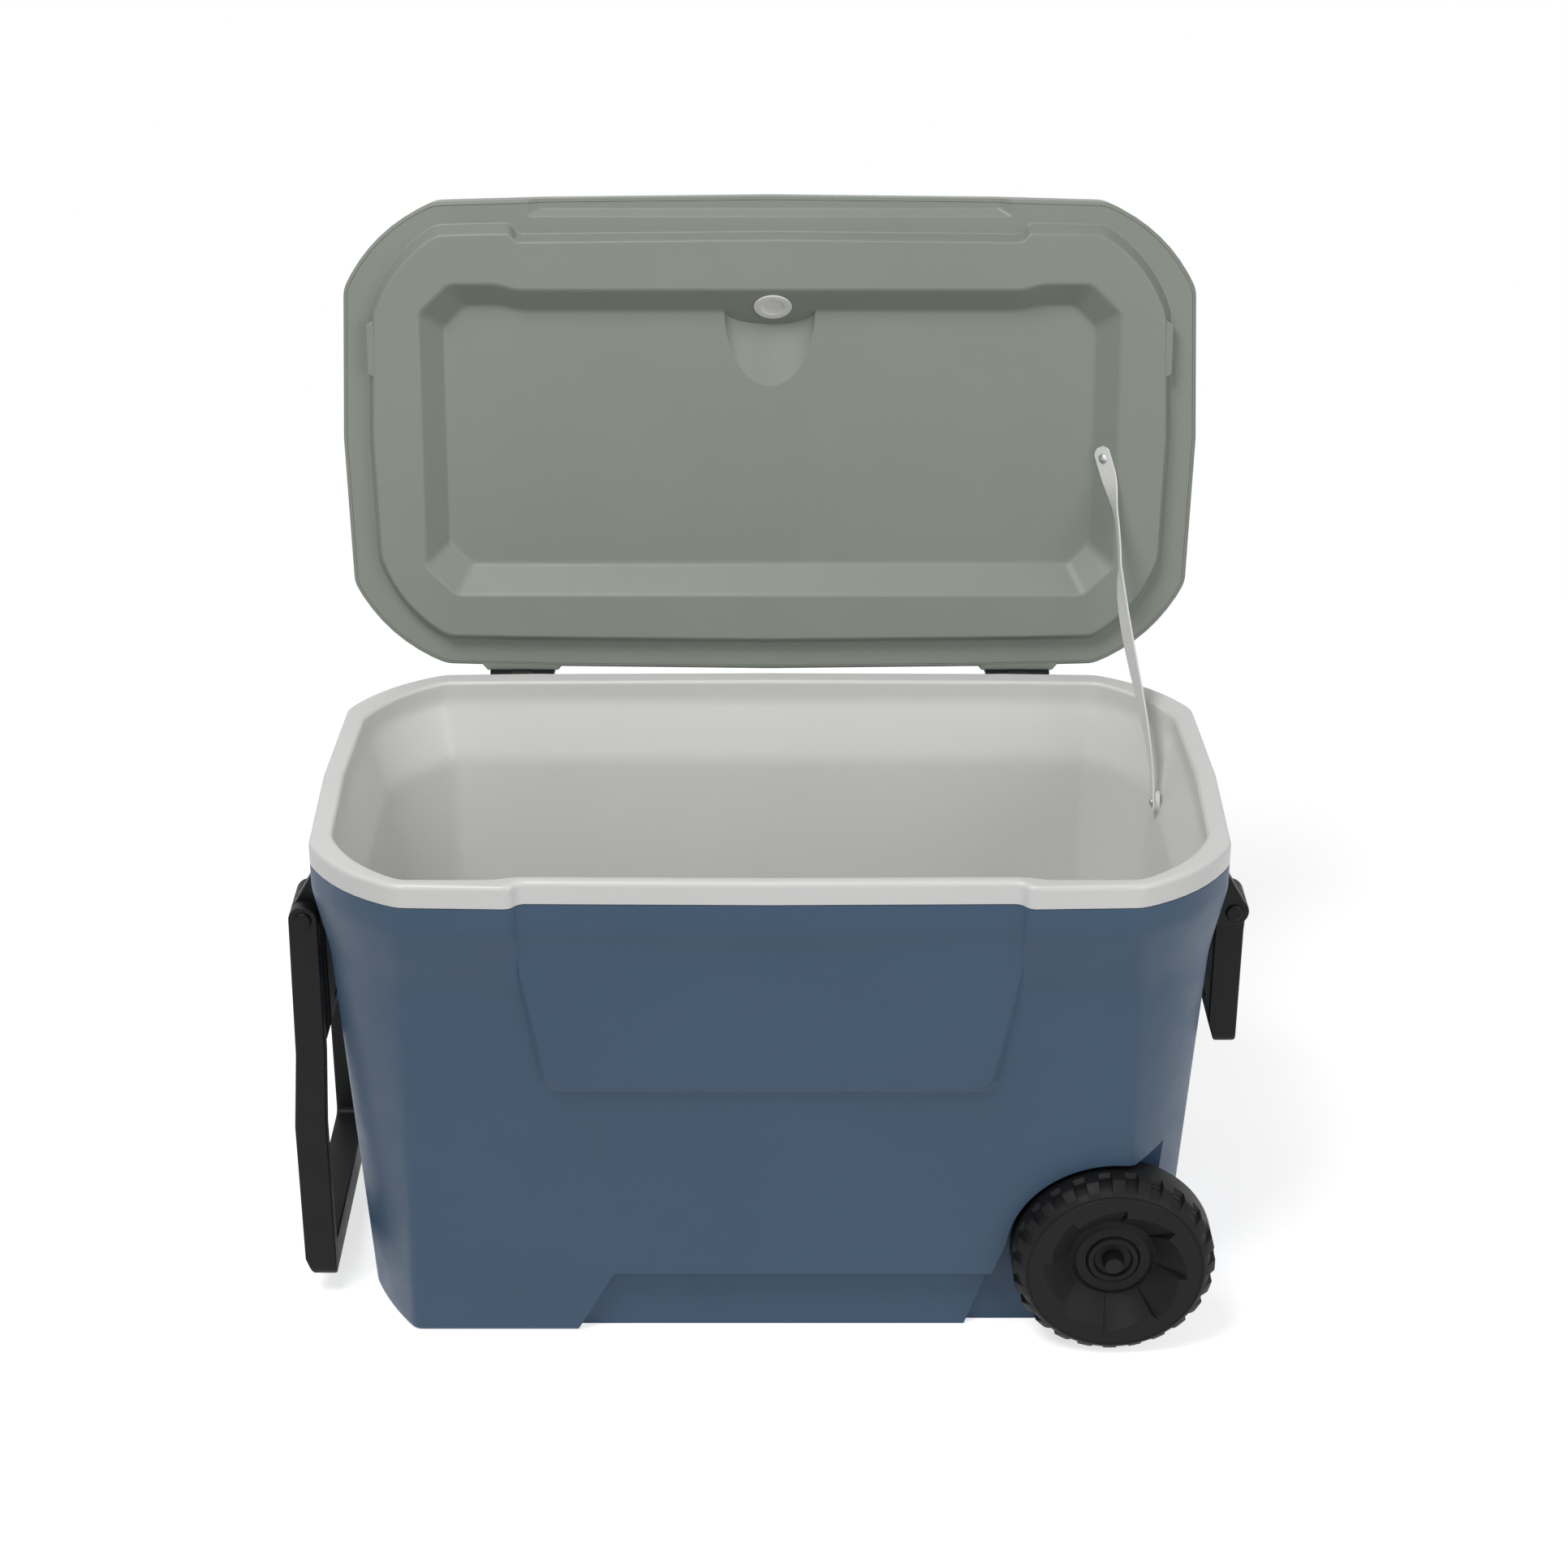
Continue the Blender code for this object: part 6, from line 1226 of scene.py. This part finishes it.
def make_pins():
    """Pivot pins with domed heads through the bracket's ears and the handles' arms."""
    inner = EAR_INNER_Y - EAR_CLEARANCE - CARRY_ARM
    for side, name in SIDES:
        outer = EAR_OUTER_Y if side > 0 else EAR_OUTER_Y + (EAR_CLEARANCE + TOW_ARM)
        profile = [
            (PIN_RADIUS, inner - outer),
            (PIN_RADIUS, GAP),
            (PIN_HEAD - PIN_LIP, GAP),
            (PIN_HEAD, GAP + PIN_LIP),
        ]
        for angle in DOME_ANGLES:
            rise = PIN_LIP + (PIN_HEAD_THICKNESS - PIN_LIP) * math.sin(angle)
            profile.append((PIN_HEAD * (1 - (1 - math.cos(angle)) * PIN_DOME_SHARE), GAP + rise))
        for end, label in ENDS:
            node = f"pivot_pin_{name}_{label}"
            solid = lathe((side * PIVOT_X, end * outer, PIVOT_Z), (0, end, 0), profile)
            dressed(shaded(as_object(f"{node}_dressed", solid)), DARK_STEEL, "base", "steel", node)


def wheel_section(share, lug):
    """Pairs of radius and height round the wheel's section, for a place in its facet and on its lugs."""
    face, tread, lip = WHEEL_WIDTH, WHEEL_RADIUS, WHEEL_LIP
    hub = face - HUB_SINK
    inner = FACE_INNER_WIDE - (FACE_INNER_WIDE - FACE_INNER_NARROW) * share
    sink = LUG_DEPTH * (1 - lug)
    return [
        (AXLE_RADIUS + GAP, hub - HUB_RECESS),
        (HUB_RECESS_RADIUS, hub - HUB_RECESS),
        (HUB_RECESS_RADIUS + lip, hub - lip),
        (HUB_RECESS_RADIUS + 2 * lip, hub),
        (HUB_RADIUS - lip, hub),
        (HUB_RADIUS, hub - lip),
        (HUB_RADIUS + lip, hub - 3 * lip),
        (HUB_RADIUS + 2 * lip, hub - 2 * lip),
        (HUB_RING_RADIUS - lip, hub - 2 * lip),
        (HUB_RING_RADIUS, hub - 3 * lip),
        (DISH_FOOT_RADIUS - lip, face - DISH_FOOT_SINK),
        (DISH_FOOT_RADIUS, face - DISH_FOOT_SINK + lip / 2 * share),
        (inner, face - FACE_LIP),
        (inner + FACE_LIP / 2, face - FACE_LIP / 4),
        (inner + FACE_LIP, face),
        (FACE_RADIUS - lip, face),
        (FACE_RADIUS, face - lip),
        (FACE_RADIUS + lip, face - lip),
        (FACE_RADIUS + 2 * lip, face - lip / 4),
        (LUG_TOE_RADIUS, face - SHOULDER_SINK * SHOULDER_FIRST_SHARE / 2),
        (SHOULDER_RADIUS, face - SHOULDER_SINK * SHOULDER_FIRST_SHARE - sink * LUG_MIDDLE_SHARE),
        (tread - lip - sink, face - SHOULDER_SINK + 2 * lip - sink / 2),
        (tread - sink, face - SHOULDER_SINK),
        (tread - sink, face - LUG_LENGTH + LUG_DEPTH / 2),
        (tread, face - LUG_LENGTH - LUG_DEPTH / 2),
        (tread, BACK_SHOULDER),
        (tread - BACK_SHOULDER * BACK_CORNER_SHARE, BACK_SHOULDER * BACK_CORNER_SHARE),
        (tread - BACK_SHOULDER, 0),
        (BACK_RING_RADIUS, 0),
        (BACK_RING_RADIUS - BACK_SHOULDER, BACK_DISH_DEPTH),
        (HUB_RADIUS, BACK_DISH_DEPTH),
        (HUB_RADIUS - lip, 0),
        (AXLE_RADIUS + GAP, 0),
    ]


def wheel_stations():
    """Angles round the wheel, each with its place in a facet and how far it stands on a lug."""
    pitch = FULL_TURN / LUG_COUNT
    lugs_per_facet = LUG_COUNT // FACET_COUNT
    half = pitch * LUG_SHARE / 2
    rising = [
        (-pitch / 2 + STEP_TURN, 0),
        (-(pitch / 2 + half) / 2, 0),
        (-half, 0),
        (-half + LUG_TURN, LUG_RISE_SHARE),
        (-half + 2 * LUG_TURN, 1),
    ]
    steps = rising + [(0, 1)] + [(-offset, lug) for offset, lug in reversed(rising)]
    stations = []
    for number in range(LUG_COUNT):
        in_facet = number % lugs_per_facet
        for offset, lug in steps:
            share = (in_facet * pitch + offset + pitch / 2) / (lugs_per_facet * pitch)
            stations.append((pitch * number + offset, share, lug))
    return stations


def make_wheel(end, name):
    """A wheel: face ring with a stepped inner edge, eight twisted facets, a hub and a lugged tread."""
    rings = []
    for angle, share, lug in wheel_stations():
        across, up = math.cos(math.radians(angle)), math.sin(math.radians(angle))
        rings.append([
            (WHEEL_X + radius * across, end * (HUB_BACK_Y + height), WHEEL_RADIUS + radius * up)
            for radius, height in wheel_section(share, lug)
        ])
    bm = bmesh.new()
    skin(bm, rings, True)
    bmesh.ops.recalc_face_normals(bm, faces=bm.faces[:])
    wheel = shaded(as_object(f"wheel_{name}_dressed", bm))
    dressed(wheel, TYRE, f"wheel_{name}", "black_plastic", f"wheel_{name}")


def curve(start, leave, arrive, end):
    """Points along a smooth way between two places, leaving and arriving along two directions."""
    pull = (end - start).length / 3
    near, far = start + leave * pull, end - arrive * pull
    points = []
    for step in range(STRAP_STEPS + 1):
        share = step / STRAP_STEPS
        rest = 1 - share
        points.append(
            start * rest**3 + near * 3 * rest**2 * share + far * 3 * rest * share**2 + end * share**3
        )
    return points


def make_strap():
    """A flat strap from the boss in the tub to the slope in the lid, turning on its way."""
    tub_seat = Vector((STRAP_BOSS_X - GAP - STRAP_THICKNESS / 2, STRAP_TUB_Y, STRAP_TUB_Z))
    place, normal = slope_point(STRAP_LID_Y, STRAP_LID_SHARE, False)
    lid_seat = opened_point(place + normal * (GAP + STRAP_THICKNESS / 2))
    lid_normal = Matrix.Rotation(-LID_OPEN, 3, "X") @ normal
    tub_normal = Vector((-1, 0, 0))
    forward = Vector((0, -1, 0))
    run = lid_seat - tub_seat
    tub_along = (run - tub_normal * run.dot(tub_normal)).normalized()
    lid_along = (run - lid_normal * run.dot(lid_normal)).normalized()
    start = tub_seat + tub_along * STRAP_TAB
    end = lid_seat - lid_along * STRAP_TAB
    centres = [(tub_seat + tub_along * STRAP_TAB * share, tub_normal) for share in STRAP_TAB_SHARES]
    for index, point in enumerate(curve(start, tub_along, tub_along, STRAP_MIDDLE)):
        share = index / STRAP_STEPS
        turned = 4 * share**2 * (1 - share**2) * STRAP_TURN_SHARE
        centres.append((point, (tub_normal + forward * turned).normalized()))
    for index, point in enumerate(curve(STRAP_MIDDLE, tub_along, lid_along, end)[1:], 1):
        share = max(2 * index / STRAP_STEPS - 1, 0)
        centres.append((point, tub_normal.lerp(lid_normal, share * share * (3 - 2 * share))))
    centres += [(lid_seat - lid_along * STRAP_TAB * share, lid_normal) for share in STRAP_TAB_SHARES[::-1]]
    points = [centre for centre, facing in centres]
    last = len(points) - 1
    half_x, half_z = STRAP_WIDTH / 2, STRAP_THICKNESS / 2
    section = [
        (half_x, -half_z + STRAP_EDGE),
        (half_x, half_z - STRAP_EDGE),
        (half_x - STRAP_EDGE, half_z),
        (0, half_z),
        (-half_x + STRAP_EDGE, half_z),
    ]
    section += [(-x, -z) for x, z in section]
    rings = []
    for index, (centre, facing) in enumerate(centres):
        ahead = (points[min(index + 1, last)] - points[max(index - 1, 0)]).normalized()
        across = ahead.cross(facing).normalized()
        thick = across.cross(ahead).normalized()
        reach = min((centre - points[0]).length, (centre - points[last]).length)
        taper = math.sqrt(max(1 - (1 - min(reach / STRAP_NOSE, 1)) ** 2, STRAP_TIP_SHARE))
        rings.append([centre + across * x * taper + thick * z for x, z in section])
    strap = shaded(as_object("lid_strap_dressed", loft(rings)))
    strap.data.materials.append(WEB)
    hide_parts("lid_strap")
    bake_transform(strap)


def make_camera():
    data = bpy.data.cameras.new("camera")
    data.sensor_width = SENSOR
    data.lens = FOCAL_PIXELS * SENSOR / IMAGE_PIXELS
    data.shift_x = (IMAGE_PIXELS / 2 - CENTRE_PIXEL_X) / IMAGE_PIXELS
    camera = placed("camera", data)
    camera.location = CAMERA_PLACE
    camera.rotation_euler = (math.pi / 2 - CAMERA_PITCH, 0, 0)
    bpy.context.scene.camera = camera


def make_lamps():
    for name, (place, size, power) in LAMPS.items():
        data = bpy.data.lights.new(name, "AREA")
        data.shape = "RECTANGLE"
        data.size = data.size_y = size
        data.energy = power
        lamp = placed(name, data)
        lamp.location = place
        lamp.rotation_euler = (Vector(LAMP_TARGET) - Vector(place)).to_track_quat("-Z", "Y").to_euler()


def feed(tree, node, inputs):
    """Sets each named input of a shader node to a value, or links it to another node's output."""
    for name, value in inputs.items():
        if isinstance(value, bpy.types.NodeSocket):
            tree.links.new(value, node.inputs[name])
        else:
            node.inputs[name].default_value = value
    return node


def ranged(tree, source, low, high, start=0, end=1):
    """A value that runs from low to high while its source runs from start to end."""
    inputs = {"Value": source, "From Min": start, "From Max": end, "To Min": low, "To Max": high}
    return feed(tree, tree.nodes.new("ShaderNodeMapRange"), inputs).outputs["Result"]


def new_material(name):
    """A material, its node tree and its surface shader."""
    material = bpy.data.materials.new(name)
    material.use_nodes = True
    tree = material.node_tree
    return material, tree, tree.nodes["Principled BSDF"]


def seen_directly(tree, otherwise, seen):
    """One value for what the camera, a reflection or glass sees, and another for light."""
    paths = tree.nodes.new("ShaderNodeLightPath")
    total = paths.outputs["Is Camera Ray"]
    for name in ("Is Glossy Ray", "Is Transmission Ray"):
        highest = tree.nodes.new("ShaderNodeMath")
        highest.operation = "MAXIMUM"
        total = feed(tree, highest, {0: total, 1: paths.outputs[name]}).outputs[0]
    return ranged(tree, total, otherwise, seen)


def make_stage():
    """A pale floor that a camera sees as white outside the shadow, and a white world."""
    mesh = bpy.data.meshes.new("floor")
    corners = [(-1, -1), (1, -1), (1, 1), (-1, 1)]
    mesh.from_pydata([(x * FLOOR_REACH, y * FLOOR_REACH, 0) for x, y in corners], [], [(0, 1, 2, 3)])
    floor = placed("floor", mesh)
    floor.location.z = -GAP
    material, tree, shader = new_material("floor")
    feed(tree, shader, {
        "Base Color": (FLOOR_GREY, FLOOR_GREY, FLOOR_GREY, 1),
        "Roughness": FLOOR_ROUGHNESS,
        "Emission Color": PURE_WHITE,
        "Emission Strength": seen_directly(tree, 0, FLOOR_GLOW),
    })
    mesh.materials.append(material)
    world = bpy.data.worlds.new("studio")
    bpy.context.scene.world = world
    world.use_nodes = True
    tree = world.node_tree
    strength = seen_directly(tree, WORLD_LIGHT, 1)
    feed(tree, tree.nodes["Background"], {"Color": PURE_WHITE, "Strength": strength})


def moulded(name, colour, roughness, grain, grain_depth, mottle, sheen=PLAIN_SHEEN):
    """Moulded plastic: broad faint mottling, fine surface grain and uneven gloss."""
    material, tree, shader = new_material(name)
    place = tree.nodes.new("ShaderNodeTexCoord").outputs["Object"]

    def noise(scale, detail):
        inputs = {"Vector": place, "Scale": scale, "Detail": detail}
        return feed(tree, tree.nodes.new("ShaderNodeTexNoise"), inputs).outputs["Fac"]

    mix = tree.nodes.new("ShaderNodeMix")
    mix.data_type = "RGBA"
    darker, lighter = [[channel * factor for channel in colour] + [1] for factor in (1 - mottle, 1 + mottle)]
    feed(tree, mix, {0: ranged(tree, noise(*MOTTLE_NOISE), 0, 1, *NOISE_RANGE), 6: darker, 7: lighter})
    gloss = (roughness - GLOSS_SPREAD, roughness + GLOSS_SPREAD)
    bump = tree.nodes.new("ShaderNodeBump")
    feed(tree, bump, {"Strength": 1, "Distance": grain_depth, "Height": noise(grain, GRAIN_DETAIL)})
    feed(tree, shader, {
        "Base Color": mix.outputs[2],
        "Roughness": ranged(tree, noise(*GLOSS_NOISE), *gloss, *NOISE_RANGE),
        "Normal": bump.outputs["Normal"],
        "Specular IOR Level": sheen,
    })
    return material


def metal(name, colour, roughness):
    material = moulded(name, colour, roughness, *METAL_SURFACE)
    material.node_tree.nodes["Principled BSDF"].inputs["Metallic"].default_value = 1
    return material


# Colour, roughness, the grain's fineness and depth, mottling and sheen
BLUE = moulded("blue_moulding", (0.056, 0.103, 0.172), 0.42, 700, 0.00006, 0.03, 0.3)
SAGE = moulded("sage_moulding", (0.258, 0.283, 0.247), 0.45, 700, 0.00006, 0.03)
WHITE = moulded("white_moulding", (0.74, 0.74, 0.73), 0.35, 500, 0.00003, 0.015)
BLACK = moulded("black_moulding", (0.0075, 0.0078, 0.0085), 0.48, 800, 0.00006, 0.08, 0.2)
TYRE = moulded("wheel_moulding", (0.0060, 0.0062, 0.0068), 0.55, 800, 0.00006, 0.08, 0.2)
RUBBER = moulded("gasket_rubber", (0.02, 0.02, 0.02), 0.7, 600, 0.00008, 0.08)
# A lighter white than the tub's; on the filling plug it is painted light, lifting the shade where the plug
# faces down
WEB = moulded("strap_plastic", (0.82, 0.82, 0.81), 0.45, 600, 0.00004, 0.02)
STEEL = metal("bright_steel", (0.62, 0.62, 0.61), 0.3)
DARK_STEEL = metal("blackened_steel", (0.02, 0.02, 0.021), 0.45)


def keep_nodes():
    """Gives the model's own small pieces soft edges, and the first material that fits their names."""
    looks = (
        ("hinge_leaf_", BLACK),
        ("hinge_pin_", STEEL),
        ("axle_", BLACK),
        ("axle", STEEL),
        ("drain_gasket", RUBBER),
        ("drain_", WHITE),
    )
    for name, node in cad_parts.items():
        fitting = [material for start, material in looks if name.startswith(start)]
        if not fitting:
            continue
        for slot in node.material_slots:
            slot.material = fitting[0]
        bevel = node.modifiers.new("soft_edges", "BEVEL")
        bevel.width = NODE_ROUND
        bevel.segments = NODE_SEGMENTS
        bevel.angle_limit = SMOOTH_ANGLE


make_camera()
make_stage()
make_lamps()
make_body()
make_tub()
make_lid()
make_lid_lining()
make_fill_plug()
for side, name in SIDES:
    make_carry_handle(side, name)
    make_bracket(side, name)
make_tow_handle()
make_screws()
make_pins()
for end, name in ENDS:
    make_wheel(end, name)
make_strap()
keep_nodes()
bpy.context.scene.view_settings.view_transform = "Standard"
